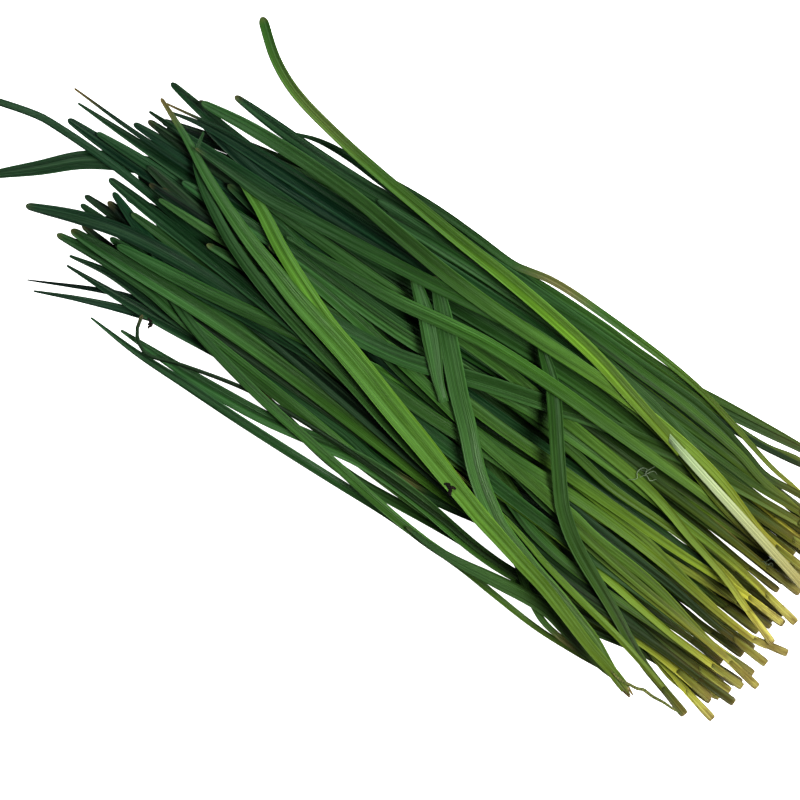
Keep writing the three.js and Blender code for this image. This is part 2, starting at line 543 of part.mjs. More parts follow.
function fillingShoot(index, random) {
  const between = (low, high) => lerp(low, high, random());
  const share = ((index * 0.618034) % 1) * 2 - 1;
  const place = (x, part) => {
    const far = alongTable(HEAP_EDGES.far, x);
    const near = alongTable(HEAP_EDGES.near, x);
    return [x, (far + near) / 2 + (part * (far - near)) / 2];
  };
  const foot = place(between(...FILLING.feet), share * 0.94);
  const leaves = [];
  for (let k = 0; k < FILLING.leaves; k += 1) {
    const end = clamp(share + between(-0.5, 0.5), -0.97, 0.97);
    const tip = between(...FILLING.tips);
    const points = [0.3, 0.55, 0.8, 1].map(t => place(lerp(foot[0], tip, t),
      clamp(lerp(share, end, smooth(t)) + between(-0.05, 0.05), -1, 1)));
    leaves.push([between(...FILLING.widths), points]);
  }
  return { foot, leaves };
}

// ---- the bunch ----
const GREEN = { color: 0x3a6b2a, roughness: 0.55, metalness: 0 };
const PALE = { color: 0xa9b86a, roughness: 0.6, metalness: 0 };
const random = seededRandom(FILLING.seed);
const filling = Array.from({ length: FILLING.shoots }, (_, i) => (
  { name: `lower_shoot_${i + 1}`, ...fillingShoot(i, random) }));

const bunch = new THREE.Group();
[...filling, ...PLACED_SHOOTS].forEach(shoot => {
  const finish = shoot.name === 'white_sheathed_shoot' ? PALE : GREEN;
  const mesh = new THREE.Mesh(geometryOf(layShoot(shoot, random)), new THREE.MeshStandardMaterial(finish));
  mesh.name = shoot.name;
  bunch.add(mesh);
});

// The origin is under the middle of the bunch, on the table.
const reach = new THREE.Box3().setFromObject(bunch);
const middle = reach.getCenter(new THREE.Vector3());
bunch.position.set(-middle.x, -middle.y, 0);
bunch.updateMatrixWorld(true);

export default bunch;
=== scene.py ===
# Chive bunch: cut garlic chives, lying loose on a table as they came out of the hand.
# The leaves are laid one on another in millimetres, and the finished bunch is then set on the
# frame, in metres.
import math

import bpy
import numpy as np
from mathutils import Matrix, Vector


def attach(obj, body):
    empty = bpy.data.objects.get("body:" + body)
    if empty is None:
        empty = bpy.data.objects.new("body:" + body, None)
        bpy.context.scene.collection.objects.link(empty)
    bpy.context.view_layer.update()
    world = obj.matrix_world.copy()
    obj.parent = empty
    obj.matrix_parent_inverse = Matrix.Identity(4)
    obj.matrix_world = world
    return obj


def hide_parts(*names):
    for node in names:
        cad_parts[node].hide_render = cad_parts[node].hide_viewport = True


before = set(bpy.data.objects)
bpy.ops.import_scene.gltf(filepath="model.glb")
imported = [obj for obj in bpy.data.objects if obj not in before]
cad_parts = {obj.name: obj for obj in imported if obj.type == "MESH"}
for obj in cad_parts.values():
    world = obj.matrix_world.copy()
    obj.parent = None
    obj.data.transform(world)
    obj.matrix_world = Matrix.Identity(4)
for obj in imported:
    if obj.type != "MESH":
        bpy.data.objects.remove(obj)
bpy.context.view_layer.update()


# ---- Lower shoots ----
# The shoots at the bottom of the heap: strap leaves of living tissue, which grow out of a short
# sheath, cut off at its foot. Nothing ties them. A cut leaf is limp along its length and stiff
# across it, so each shoot is laid on those before it, bends over what holds it up, and leans.
LEAF_DEPTH = {"per_width": 0.17, "least": 0.62, "most": 1.2}
LEAF_FOOT = {"share": 0.5, "length": 0.55}
LEAF_TIPS = {"blunt": {"share": 0.45, "length": 30, "power": 2.2},
             "pointed": {"share": 0.2, "length": 50, "power": 1.6},
             "long": {"share": 0.2, "length": 120, "power": 1.4},
             "full": {"share": 0.64, "length": 200, "power": 1.1}}
TIP_STATION = 9
STATION_STEP = 31
TURN_LENGTH = 45
GAP = 0.28
SIDE_GAP = 0.3
SHEATH = {"wall": 0.35, "leaf_gap": GAP + 0.04, "root": 7, "out": 2, "length": 15}
CREST_RADIUS = 240
VALLEY_RADIUS = 200
LIFT = {"passes": 40, "enough": 0.003, "least_share": 0.04}
ROLL = {"most": 0.3, "own": 0.16, "follow": 0.6}
CELL = 0.5
MAP = {"x0": -40, "y0": -110, "columns": 880, "rows": 420}

heap = np.full(MAP["columns"] * MAP["rows"], -GAP)


def lerp(a, b, t):
    return a + (b - a) * t


def clamp(value, low, high):
    return min(high, max(low, value))


def smooth(t):
    s = clamp(t, 0, 1)
    return s * s * (3 - 2 * s)


def seeded_random(seed):
    """Small repeatable random numbers from 0 to 1."""
    state = seed

    def draw():
        nonlocal state
        state = (state + 0x6D2B79F5) & 0xFFFFFFFF
        t = ((state ^ (state >> 15)) * (state | 1)) & 0xFFFFFFFF
        t ^= (t + (((t ^ (t >> 7)) * (t | 61)) & 0xFFFFFFFF)) & 0xFFFFFFFF
        return ((t ^ (t >> 14)) & 0xFFFFFFFF) / 4294967296

    return draw


def plan_curve(points):
    """A smooth curve through the points, with a sample about every millimetre: x, y, heading."""
    points = [tuple(map(float, p)) for p in points]
    spans = [math.hypot(q[0] - p[0], q[1] - p[1]) for p, q in zip(points, points[1:])]

    def slope(i, axis):
        a, b = max(i - 1, 0), min(i + 1, len(points) - 1)
        return (points[b][axis] - points[a][axis]) / sum(spans[a:b])

    samples = []
    for i, span in enumerate(spans):
        steps = max(1, math.floor(span + 0.5))
        for k in range(0 if i == 0 else 1, steps + 1):
            t = k / steps
            place = []
            for axis in (0, 1):
                rise, after = slope(i, axis) * span, slope(i + 1, axis) * span
                p, q = points[i][axis], points[i + 1][axis]
                place.append(p + t * rise + t * t * (3 * (q - p) - 2 * rise - after)
                             + t * t * t * (2 * (p - q) + rise + after))
            samples.append(place)
    curve = []
    for i, (x, y) in enumerate(samples):
        before, after = samples[max(i - 1, 0)], samples[min(i + 1, len(samples) - 1)]
        curve.append((x, y, math.atan2(after[1] - before[1], after[0] - before[0])))
    return curve


def width_share(s, length, tip):
    """How wide a leaf is at s, as a share of its full width."""
    grown = lerp(LEAF_FOOT["share"], 1, smooth(s / (LEAF_FOOT["length"] * length)))
    to_tip = clamp((s - (length - tip["length"])) / tip["length"], 0, 1)
    return grown * (1 - (1 - tip["share"]) * to_tip ** tip["power"])


def leaf_depth(width):
    """How thick a leaf is at its midrib."""
    return clamp(width * LEAF_DEPTH["per_width"], LEAF_DEPTH["least"], LEAF_DEPTH["most"])


def leaf_sections(curve, width, tip, start_at, random):
    """Where a leaf's straight stretches meet: at its sheath, along its route, and at its tip."""
    length = len(curve) - 1
    measure = [0.0]
    for i in range(1, length + 1):
        turn = abs(curve[i][2] - curve[i - 1][2])
        turn = 2 * math.pi - turn if turn > math.pi else turn
        measure.append(measure[-1] + 1 + TURN_LENGTH * turn)
    marks = [max(0, round(start_at - SHEATH["root"])), max(0, round(start_at + SHEATH["out"]))]
    first = marks[-1]
    share = measure[length - TIP_STATION] - measure[first]
    count = max(2, math.floor(share / STATION_STEP + 0.5))
    at = first
    for k in range(1, count + 1):
        goal = measure[first] + (share * k) / count
        while at < length and measure[at] < goal - 1e-9:
            at += 1
        marks.append(at)
    marks.append(length)
    wave = {"size": ROLL["own"] * random(), "start": random(), "per": 180 + 300 * random()}
    sections = []
    for s in marks:
        wide = width * width_share(s, length, tip)
        x, y, heading = curve[s]
        roll = wave["size"] * math.sin(2 * math.pi * (wave["start"] + s / wave["per"]))
        sections.append({"s": s, "x": x, "y": y, "heading": heading, "half": wide / 2,
                         "depth": leaf_depth(wide), "roll": roll, "z": 0.0})
    return sections


def strip_points(sections, spare):
    """Points all over the strip between the sections, as arrays by name."""
    part, t = [], []
    for i, (a, b) in enumerate(zip(sections, sections[1:])):
        steps = max(1, math.ceil(math.hypot(b["x"] - a["x"], b["y"] - a["y"]) / CELL))
        part += [i] * (steps + 1)
        t += [k / steps for k in range(steps + 1)]
    part, t = np.array(part), np.array(t)

    def along(values):
        values = np.array(values, float)
        return values[part] + (values[part + 1] - values[part]) * t

    half = along([c["half"] for c in sections])
    wide = half + spare
    columns = np.ceil(wide / CELL)
    step = np.arange(-int(columns.max()), int(columns.max()) + 1)
    across = (wide[:, None] * step) / columns[:, None]
    used = np.abs(step)[None, :] <= columns[:, None]
    x = along([c["x"] for c in sections])[:, None] \
        + along([-math.sin(c["heading"]) for c in sections])[:, None] * across
    y = along([c["y"] for c in sections])[:, None] \
        + along([math.cos(c["heading"]) for c in sections])[:, None] * across
    column = np.clip(np.floor((x - MAP["x0"]) / CELL + 0.5), 0, MAP["columns"] - 1)
    row = np.clip(np.floor((y - MAP["y0"]) / CELL + 0.5), 0, MAP["rows"] - 1)
    cell = (row * MAP["columns"] + column).astype(int)

    def spread(values):
        return np.broadcast_to(np.asarray(values)[:, None], across.shape)[used]

    return {"part": spread(part), "t": spread(t), "across": across[used], "cell": cell[used],
            "half": spread(half), "s": spread(along([c["s"] for c in sections])),
            "depth": spread(along([c["depth"] for c in sections])),
            "roll": spread(along([c["roll"] for c in sections])),
            "z": spread(along([c["z"] for c in sections]))}


def drape(need):
    """Heights that clear need, one value a millimetre, and bend no tighter than the radii."""
    away = np.arange(len(need))
    away = (away[:, None] - away[None, :]) ** 2

    def reach(heights, radius, sign):
        return sign * (sign * heights[None, :] - away / (2 * radius)).max(axis=1)

    hung = reach(need, CREST_RADIUS, 1)
    return reach(reach(hung, VALLEY_RADIUS, 1), VALLEY_RADIUS, -1)


def settle_roll(sections):
    """Leans each section with the heap under its two sides."""
    points = strip_points(sections, 0)
    near = np.where(points["t"] < 0.5, points["part"], points["part"] + 1)
    height = heap[points["cell"]]
    left, right = np.full(len(sections), -1e9), np.full(len(sections), -1e9)
    np.maximum.at(left, near[points["across"] > 0.3], height[points["across"] > 0.3])
    np.maximum.at(right, near[points["across"] < -0.3], height[points["across"] < -0.3])
    raw = [math.atan2(left[i] - right[i], 2.4 * c["half"]) for i, c in enumerate(sections)]
    for i, section in enumerate(sections):
        a, b = raw[max(i - 1, 0)], raw[min(i + 1, len(raw) - 1)]
        section["roll"] = clamp(section["roll"] + ROLL["follow"] * (a + 2 * raw[i] + b) / 4,
                                -ROLL["most"], ROLL["most"])


def lay_leaf(sections, sheath_depth=0, pinned=None):
    """Sets how high a leaf lies on the heap; pinned gives the heights of its first two sections."""
    settle_roll(sections)
    if sheath_depth > 0 or pinned:
        for section in sections[:2]:
            section["roll"] = 0.0
    start = sections[0]["s"]
    need = np.full(sections[-1]["s"] - start + 1, -1e9)
    points = strip_points(sections, SIDE_GAP)
    keel = points["depth"] * (1 - np.minimum(1, np.abs(points["across"]) / points["half"]))
    under = np.where((points["part"] == 0) & (sheath_depth > 0), sheath_depth, keel)
    level = heap[points["cell"]] + GAP + under - points["across"] * np.sin(points["roll"])
    at = points["s"] - start
    np.maximum.at(need, np.floor(at).astype(int), level)
    np.maximum.at(need, np.ceil(at).astype(int), level)
    if pinned:
        mouth = sections[1]["s"] - start
        for i in range(mouth + 1):
            need[i] = lerp(pinned[0], pinned[1], i / mouth)
    heights = drape(need)
    for section in sections:
        section["z"] = float(heights[section["s"] - start])
    if pinned:
        sections[0]["z"], sections[1]["z"] = pinned
    lift_clear(sections, need.tolist(), bool(pinned))


def lift_clear(sections, need, held):
    """Raises sections until the straight stretches between them clear need too."""
    start = sections[0]["s"]
    for _ in range(LIFT["passes"]):
        worst = 0
        for i in range(1 if held else 0, len(sections) - 1):
            a, b = sections[i], sections[i + 1]
            fixed = held and i == 1
            for s in range(a["s"], b["s"] + 1):
                t = (s - a["s"]) / (b["s"] - a["s"])
                short = need[s - start] - lerp(a["z"], b["z"], t)
                share = t * t if fixed else (1 - t) ** 2 + t * t
                if short > LIFT["enough"] and share > LIFT["least_share"]:
                    if not fixed:
                        a["z"] += (short * (1 - t)) / share
                    b["z"] += (short * t) / share
                    worst = max(worst, short)
        if worst == 0:
            break


def add_to_heap(sections):
    """Raises the heap to the top of a leaf or sheath that was laid."""
    points = strip_points(sections, SIDE_GAP)
    level = points["z"] + np.clip(points["across"], -points["half"], points["half"]) \
        * np.sin(points["roll"])
    np.maximum.at(heap, points["cell"], level)


def lay_shoot(foot, leaves, random, sheath=SHEATH["length"]):
    """Lays a shoot's sheath and leaves, and returns them: the sheath's line and the leaves."""
    aim = [sum(row[1][0][axis] for row in leaves) / len(leaves) for axis in (0, 1)]
    heading = math.atan2(aim[1] - foot[1], aim[0] - foot[0])
    mouth = (foot[0] + sheath * math.cos(heading), foot[1] + sheath * math.sin(heading))
    half = max(row[0] for row in leaves) * LEAF_FOOT["share"] / 2
    root_depth = leaf_depth(2 * half)
    layer = root_depth + SHEATH["leaf_gap"]
    line = [{"x": x, "y": y, "s": s, "heading": heading, "half": half + SHEATH["wall"],
             "depth": 0.0, "roll": 0.0, "z": 0.0} for (x, y), s in ((foot, 0), (mouth, sheath))]
    laid = []
    for k, (width, points, *kind) in enumerate(leaves):
        tip = LEAF_TIPS[kind[0] if kind else "blunt"]
        start = [foot, mouth] if sheath > 0 else [foot]
        curve = plan_curve(start + [p for p in points if p[0] > mouth[0] + 4])
        sections = leaf_sections(curve, width, tip, sheath, random)
        if sheath == 0:
            lay_leaf(sections)
        elif k == 0:
            strip = [line[0], {**sections[1], "half": line[0]["half"]}] + sections[2:]
            lay_leaf(strip, sheath_depth=root_depth + SHEATH["wall"])
            line[1]["z"] = lerp(strip[0]["z"], strip[1]["z"], sheath / strip[1]["s"])
        if sheath > 0:
            held = [lerp(line[0]["z"], line[1]["z"], c["s"] / sheath) + k * layer
                    for c in sections[:2]]
            if k > 0:
                lay_leaf(sections, pinned=held)
            for section, z in zip(sections, held):
                section.update(z=z, roll=0.0, heading=heading)
        laid.append({"width": width, "tip": tip, "curve": curve, "sections": sections})
        add_to_heap(sections[1 if sheath > 0 else 0:])
    above = (len(leaves) - 1) * layer + SHEATH["wall"]
    if sheath > 0:
        add_to_heap([{**end, "z": end["z"] + above} for end in line])
    return {"line": line if sheath > 0 else None, "above": above,
            "depth": above + root_depth + SHEATH["wall"], "leaves": laid}


# A blade is about a millimetre thick, with a shallow channel above and a soft keel below.
BLADE_STEP = 3.0                # between two rings of a blade
EDGE = 0.26                     # thickness of the rim
RISE = 0.2                      # how far the rims stand above the flat of the fold
# across, share of the fold, share of the keel
BLADE_RING = [(-1, 0.0, 0), (-0.93, 0.02, 0), (-0.6, 0.3, 0), (-0.25, 0.72, 0), (-0.06, 1.0, 0),
              (0.06, 1.0, 0), (0.25, 0.72, 0), (0.6, 0.3, 0), (0.93, 0.02, 0), (1, 0.0, 0),
              (0.93, 0, 0.04), (0.55, 0, 0.42), (0.18, 0, 0.88), (0, 0, 1),
              (-0.18, 0, 0.88), (-0.55, 0, 0.42), (-0.93, 0, 0.04)]
UPPER_POINTS = 10
FOLD = {"least": 0.25, "spread": 0.3}               # how deep the channel is, in depths of the leaf
RIPPLE = {"least": 0.06, "spread": 0.1, "beat": 9, "beat_spread": 16}
TIP_ROUND = 1.6                 # length of a tip's round end, in half widths
GRAIN_SHIFT = {"across": 40, "along": 700}          # so that no two leaves have the same grain


def through(known, values, at):
    """A smooth curve through values at known, read at the places in at."""
    known, values, at = (np.asarray(v, float) for v in (known, values, at))
    rise = np.gradient(values, known) if len(known) > 2 else np.full(2, np.diff(values)[0]
                                                                    / np.diff(known)[0])
    i = np.clip(np.searchsorted(known, at, side="right") - 1, 0, len(known) - 2)
    span = known[i + 1] - known[i]
    t = (at - known[i]) / span
    p, q = values[i], values[i + 1]
    m, n = rise[i] * span, rise[i + 1] * span
    return p + t * m + t * t * (3 * (q - p) - 2 * m - n) + t ** 3 * (2 * (p - q) + m + n)


class Growth:
    """Gathers the rings of one shoot into a mesh, with where each point is on its leaf."""

    def __init__(self):
        self.places, self.faces, self.grain, self.look, self.part = [], [], [], [], []

    def add(self, rings, grain, look, part, close=(True, True)):
        """Rings of points, each with its grain in mm, its look, and where it is on the leaf."""
        n, m, _ = rings.shape
        first = sum(len(p) for p in self.places)
        self.places.append(rings.reshape(-1, 3))
        self.grain.append(grain.reshape(-1, 2))
        self.look.append(look.reshape(-1, 4))
        self.part.append(part.reshape(-1, 4))
        for i in range(n - 1):
            for k in range(m):
                a, b = first + i * m + k, first + i * m + (k + 1) % m
                self.faces.append((a, b, b + m, a + m))
        if close[0]:
            self.faces.append(tuple(first + k for k in reversed(range(m))))
        if close[1]:
            self.faces.append(tuple(first + (n - 1) * m + k for k in range(m)))

    def piece(self, name, material):
        mesh = bpy.data.meshes.new(name)
        places = np.concatenate(self.places)
        mesh.from_pydata(places.tolist(), [], self.faces)
        mesh.materials.append(material)
        corners = np.array([v for face in self.faces for v in face])
        uv = mesh.uv_layers.new(name="grain")
        uv.data.foreach_set("uv", np.concatenate(self.grain)[corners].ravel())
        for layer_name, values in (("look", self.look), ("part", self.part)):
            layer = mesh.color_attributes.new(layer_name, "FLOAT_COLOR", "POINT")
            layer.data.foreach_set("color", np.concatenate(values).ravel())
        mesh.shade_smooth()
        piece = bpy.data.objects.new(name, mesh)
        bpy.context.scene.collection.objects.link(piece)
        return piece


def blade_places(start, length, tip_half):
    """Where the rings go: closer together round the blunt end."""
    round_end = tip_half * TIP_ROUND
    straight = np.arange(start, length - round_end, BLADE_STEP)
    turned = length - round_end + round_end * np.sin(np.linspace(0, math.pi / 2, 7))
    return np.concatenate([straight, turned])


def rings_along(x, y, heading, side, height):
    """Rings of points along a plan line: side to its left, and height over the table."""
    return np.stack([x[:, None] - np.sin(heading)[:, None] * side,
                     y[:, None] + np.cos(heading)[:, None] * side, height], axis=2)


def grow_blade(growth, leaf, tone, random):
    """One leaf's blade, on the sections that it was laid by."""
    curve, sections = np.array(leaf["curve"]), leaf["sections"]
    length = len(curve) - 1
    tip_half = leaf["width"] * leaf["tip"]["share"] / 2
    at = blade_places(sections[0]["s"], length, tip_half)
    mm = np.arange(len(curve))
    x, y = np.interp(at, mm, curve[:, 0]), np.interp(at, mm, curve[:, 1])
    heading = np.interp(at, mm, np.unwrap(curve[:, 2]))
    known = [c["s"] for c in sections]
    z = through(known, [c["z"] for c in sections], at)
    roll = through(known, [c["roll"] for c in sections], at)
    half = np.array([leaf["width"] * width_share(s, length, leaf["tip"]) / 2 for s in at])
    round_end = tip_half * TIP_ROUND
    to_end = np.clip((at - (length - round_end)) / round_end, 0, 1)
    half = half * np.sqrt(np.clip(1 - to_end ** 2, 0.004, 1))
    depth = np.array([leaf_depth(2 * h) for h in half]) * np.sqrt(np.clip(1 - to_end ** 2, 0.1, 1))
    out_of_sheath = np.clip((at - sections[1]["s"]) / 20, 0, 1)
    fold = (FOLD["least"] + FOLD["spread"] * random()) * (1 - 0.5 * to_end)
    ripple = RIPPLE["least"] + RIPPLE["spread"] * random()
    beat, phase = RIPPLE["beat"] + RIPPLE["beat_spread"] * random(), 7 * random()
    across = np.array([r[0] for r in BLADE_RING])
    channel = np.array([r[1] for r in BLADE_RING])
    keel = np.array([r[2] for r in BLADE_RING])
    lower = np.arange(len(BLADE_RING)) >= UPPER_POINTS
    edge = np.minimum(EDGE, depth * 0.4)
    rise = RISE * out_of_sheath * np.minimum(1, half / 1.6)
    rim = np.abs(across)[None, :] ** 2 * rise[:, None]
    drop = channel[None, :] * (depth * fold)[:, None] + keel[None, :] * (depth - edge)[:, None]
    drop = drop + np.where(lower, 1, 0)[None, :] * edge[:, None] - rim
    drop[:, [0, UPPER_POINTS - 1]] += (edge / 2)[:, None]
    wave = ripple * np.sin(at / beat + phase)[:, None] * (across[None, :] * np.abs(across)[None, :])
    wave = wave * (out_of_sheath * half / half.max())[:, None]
    out = across[None, :] * half[:, None]
    side = out * np.cos(roll)[:, None] + drop * np.sin(roll)[:, None]
    up = out * np.sin(roll)[:, None] - drop * np.cos(roll)[:, None] + wave
    rings = rings_along(x, y, heading, side, z[:, None] + up)
    full = leaf["width"] / 2
    grain = np.stack([np.broadcast_to(across * full, out.shape)
                      + GRAIN_SHIFT["across"] * tone["seed"],
                      np.broadcast_to(at[:, None], out.shape)
                      + GRAIN_SHIFT["along"] * tone["seed"]], axis=2)
    look = np.empty(out.shape + (4,))
    look[...] = leaf_look(tone, x)[:, None, :]
    part = np.zeros(out.shape + (4,))
    part[..., 0] = 0.5 + 0.5 * across[None, :]
    part[..., 2] = leaf_dryness(tone, x, length - at)[:, None]
    part[..., 3] = tone["seed"]
    growth.add(rings[:, ::-1], grain[:, ::-1], look[:, ::-1], part[:, ::-1])


def leaf_dryness(tone, x, to_tip):
    """How dried the leaf is: at its tip, and where it has a dried patch."""
    dry = tone["dry_tip"] * np.clip(1 - to_tip / tone["dry_length"], 0, 1)
    for centre, reach, amount in tone["patches"]:
        dry = np.maximum(dry, amount * np.clip(1.3 - np.abs(x - centre) / reach, 0, 1))
    return np.clip(dry, 0, 1)


def sheath_rings(shoot, tone, torn):
    """The sheath: an oval tube that thins to a slanted mouth, close round the leaves."""
    foot, mouth = shoot["line"]
    turns = np.linspace(0, 2 * math.pi, 24, endpoint=False)
    wall = SHEATH["wall"]
    tear = torn * np.abs(np.sin(1.5 * turns + 0.9)) ** 0.7
    thin = (wall - 0.05) / foot["half"]
    low = (wall - 0.05) / (shoot["depth"] / 2)
    ends = [(0.0, 0.4, 0.4), (0.05 / mouth["s"], 0.74, 0.74), (0.5 / mouth["s"], 0.9, 0.9),
            (1.4 / mouth["s"], 0.98, 0.97), (0.3, 0.98, 0.94),
            (0.6, 1 - thin * 0.5, 1 - low * 0.5), (0.85, 1 - thin * 0.85, 1 - low * 0.8),
            (1.0, 1 - thin, 1 - low), (1.0, 0.9 - thin, 0.84 - low)]
    rings, grain, look, part = [], [], [], []
    for share, wide, tall in ends:
        slant = np.cos(turns + tone["seed"] * 6) * 1.2 * share ** 3
        rag = tear * max(0, 1 - share / 0.5)
        wide = wide * (1 - 0.075 * torn * max(0, 1 - share / 0.7))
        run = share * mouth["s"] - slant + rag
        along = run / mouth["s"]
        z = lerp(foot["z"], mouth["z"], along) + shoot["above"] - shoot["depth"] / 2
        out = foot["half"] * wide * np.sign(np.cos(turns)) * np.abs(np.cos(turns)) ** 0.8
        up = shoot["depth"] / 2 * tall * np.sign(np.sin(turns)) * np.abs(np.sin(turns)) ** 0.8
        x = lerp(foot["x"], mouth["x"], along) - math.sin(foot["heading"]) * out
        y = lerp(foot["y"], mouth["y"], along) + math.cos(foot["heading"]) * out
        rings.append(np.stack([x, y, z + up], axis=1))
        grain.append(np.stack([turns / 6.2832 * 12 + GRAIN_SHIFT["across"] * tone["seed"],
                               run], axis=1))
        look.append(leaf_look(tone, x))
        dry = np.clip(1 - (run - tear) / 0.8, 0, 1) * 0.8 + tone["stain"] * np.clip(1 - run / 9, 0, 1)
        part.append(np.stack([0.25 + 0 * turns, 0 * turns, dry, tone["seed"] + 0 * turns],
                             axis=1))
    return np.array(rings), np.array(grain), np.array(look), np.array(part)


def linear(hex_colour):
    """An sRGB hex colour as linear red, green, blue and alpha."""
    parts = [int(hex_colour[i:i + 2], 16) / 255 for i in (1, 3, 5)]
    return [p / 12.92 if p <= 0.04045 else ((p + 0.055) / 1.055) ** 2.4 for p in parts] + [1.0]


def node(tree, kind, settings=None, **links):
    """Adds a node: settings are its own values, and links name what feeds each socket."""
    made = tree.nodes.new("ShaderNode" + kind)
    for key, value in (settings or {}).items():
        setattr(made, key, value)
    for key, value in links.items():
        name = key.replace("_", " ")
        socket = made.inputs[int(key[1:])] if key[1:].isdigit() else made.inputs[name]
        if isinstance(value, bpy.types.NodeSocket):
            tree.links.new(value, socket)
        else:
            socket.default_value = value
    return made


def empty_material(name):
    material = bpy.data.materials.new(name)
    material.use_nodes = True
    material.node_tree.nodes.clear()
    return material, material.node_tree


def ramp(tree, factor, stops):
    """A gradient of hex colours along factor."""
    made = node(tree, "ValToRGB", Fac=factor)
    for element, (place, colour) in zip(made.color_ramp.elements, (stops[0], stops[-1])):
        element.position, element.color = place, linear(colour)
    for place, colour in stops[1:-1]:
        made.color_ramp.elements.new(place).color = linear(colour)
    return made.outputs["Color"]


# the pattern in a leaf's skin: how much it is drawn out along the leaf, how many there are in a
# millimetre, its detail and its roughness. Veins stand about 0.3 mm apart.
LEAF_GRAIN = {"streak": (0.012, 0.7, 2.0, 0.6), "vein": (0.004, 3.2, 1.0, 0.5),
              "cloud": (0.25, 0.22, 4.0, 0.65)}


def fresh_blade_material(name):
    """Living leaf under a wax skin: green tissue with pale parallel veins, satin, a little clear."""
    material, tree = empty_material(name)
    look = node(tree, "Attribute", {"attribute_name": "look"})
    parts = node(tree, "SeparateColor", Color=look.outputs["Color"])
    age, light, yellow = (parts.outputs[k] for k in ("Red", "Green", "Blue"))
    grain = node(tree, "UVMap", {"uv_map": "grain"}).outputs["UV"]
    cool = look.outputs["Alpha"]
    place = node(tree, "Attribute", {"attribute_name": "part"})
    places = node(tree, "SeparateColor", Color=place.outputs["Color"])
    across, dry = places.outputs["Red"], places.outputs["Blue"]
    green = ramp(tree, age, [(0.0, "#83793a"), (0.05, "#5b5b1e"), (0.12, "#384813"),
                             (0.25, "#244214"), (0.45, "#1b4115"), (0.7, "#11391a"), (1.0, "#0d371d")])
    blue = ramp(tree, age, [(0.0, "#6a6434"), (0.06, "#3c481c"), (0.15, "#223d17"), (0.3, "#163a1a"),
                            (0.6, "#0b331e"), (1.0, "#092f21")])
    bright = ramp(tree, age, [(0.0, "#aca25c"), (0.06, "#89832e"), (0.16, "#68761f"), (0.4, "#5b7a20"),
                              (0.7, "#507422"), (1.0, "#3c6226")])
    body = green
    for share, over in ((cool, blue), (yellow, bright)):
        body = node(tree, "Mix", {"data_type": "RGBA"}, _0=share, _6=body, _7=over).outputs[2]
    noises = []
    for stretch, per_mm, detail, roughness in LEAF_GRAIN.values():
        stretched = node(tree, "Mapping", Vector=grain, Scale=(1.0, stretch, 1.0)).outputs["Vector"]
        noises.append(node(tree, "TexNoise", {"noise_dimensions": "2D"}, Vector=stretched,
                           Scale=per_mm, Detail=detail, Roughness=roughness).outputs[0])
    streak, vein, cloud = noises
    off_middle = node(tree, "Math", {"operation": "SUBTRACT"}, _0=across, _1=0.5).outputs[0]
    off_middle = node(tree, "Math", {"operation": "ABSOLUTE"}, _0=off_middle).outputs[0]
    seed = place.outputs["Alpha"]
    scales = {}
    # midrib darkens the middle of the blade: painted shade in the crease of the fold
    for name, source, low, high, least, most in (
            ("tint", streak, 0.3, 0.7, 0.76, 1.25), ("fine", vein, 0.3, 0.7, 0.76, 1.26),
            ("patch", cloud, 0.35, 0.65, 0.93, 1.08), ("midrib", off_middle, 0.0, 0.07, 0.82, 1.0),
            ("rim", off_middle, 0.45, 0.5, 1.0, 1.75), ("left", seed, 0.0, 1.0, 0.8, 1.2),
            ("right", seed, 0.0, 1.0, 1.2, 0.8), ("wax_bloom_and_sheen", streak, 0.4, 0.8, 0.0, 0.22),
            ("near_foot", age, 0.0, 0.12, 1.0, 0.0), ("blotch", cloud, 0.46, 0.6, 0.0, 0.75),
            ("sheen", cloud, 0.3, 0.7, 0.34, 0.5)):
        scales[name] = node(tree, "MapRange", Value=source, _1=low, _2=high, _3=least,
                            _4=most).outputs[0]
    # painted light and shade: one half of the blade lighter and the other darker, as if its fold turned
    # one half to the lamp; left and right set which, at random from leaf to leaf
    half = node(tree, "MapRange", Value=across, _1=0.42, _2=0.58, _3=scales["left"],
                _4=scales["right"]).outputs[0]
    level = light
    # rim lightens the blade's edges up to 1.75 times: a painted highlight along the edges that catch the
    # light
    for factor in (*(scales[k] for k in ("tint", "fine", "patch", "midrib", "rim")), half, 2.0):
        level = node(tree, "Math", {"operation": "MULTIPLY"}, _0=level, _1=factor).outputs[0]
    body = node(tree, "HueSaturation", Value=level, Color=body).outputs["Color"]
    soiled = node(tree, "Math", {"operation": "MULTIPLY"}, _0=scales["near_foot"],
                  _1=scales["blotch"]).outputs[0]
    withered = ramp(tree, vein, [(0.3, "#3a2e17"), (0.5, "#6a5a34"), (0.7, "#8f8358")])
    # the pale wax colour mixed in along streaks: partly the leaf's own wax bloom, partly a painted sheen
    wax, soil = linear("#5f7c5c"), linear("#4d3c1c")
    for share, over in ((scales["wax_bloom_and_sheen"], wax), (soiled, soil), (dry, withered)):
        body = node(tree, "Mix", {"data_type": "RGBA"}, _0=share, _6=body, _7=over).outputs[2]
    bump = node(tree, "Bump", Strength=0.4, Distance=0.1, Height=vein)
    shader = node(tree, "BsdfPrincipled", Base_Color=body, Roughness=scales["sheen"], IOR=1.42,
                  Specular_IOR_Level=0.22, Normal=bump.outputs["Normal"])
    node(tree, "OutputMaterial", Surface=shader.outputs["BSDF"])
    return material


blade_material = fresh_blade_material("garlic_chive_blade")
LOOK_SEED, LAY_SEED = 977, 41
look_random, lay_random = seeded_random(LOOK_SEED), seeded_random(LAY_SEED)
BUNCH_LENGTH = 300.0
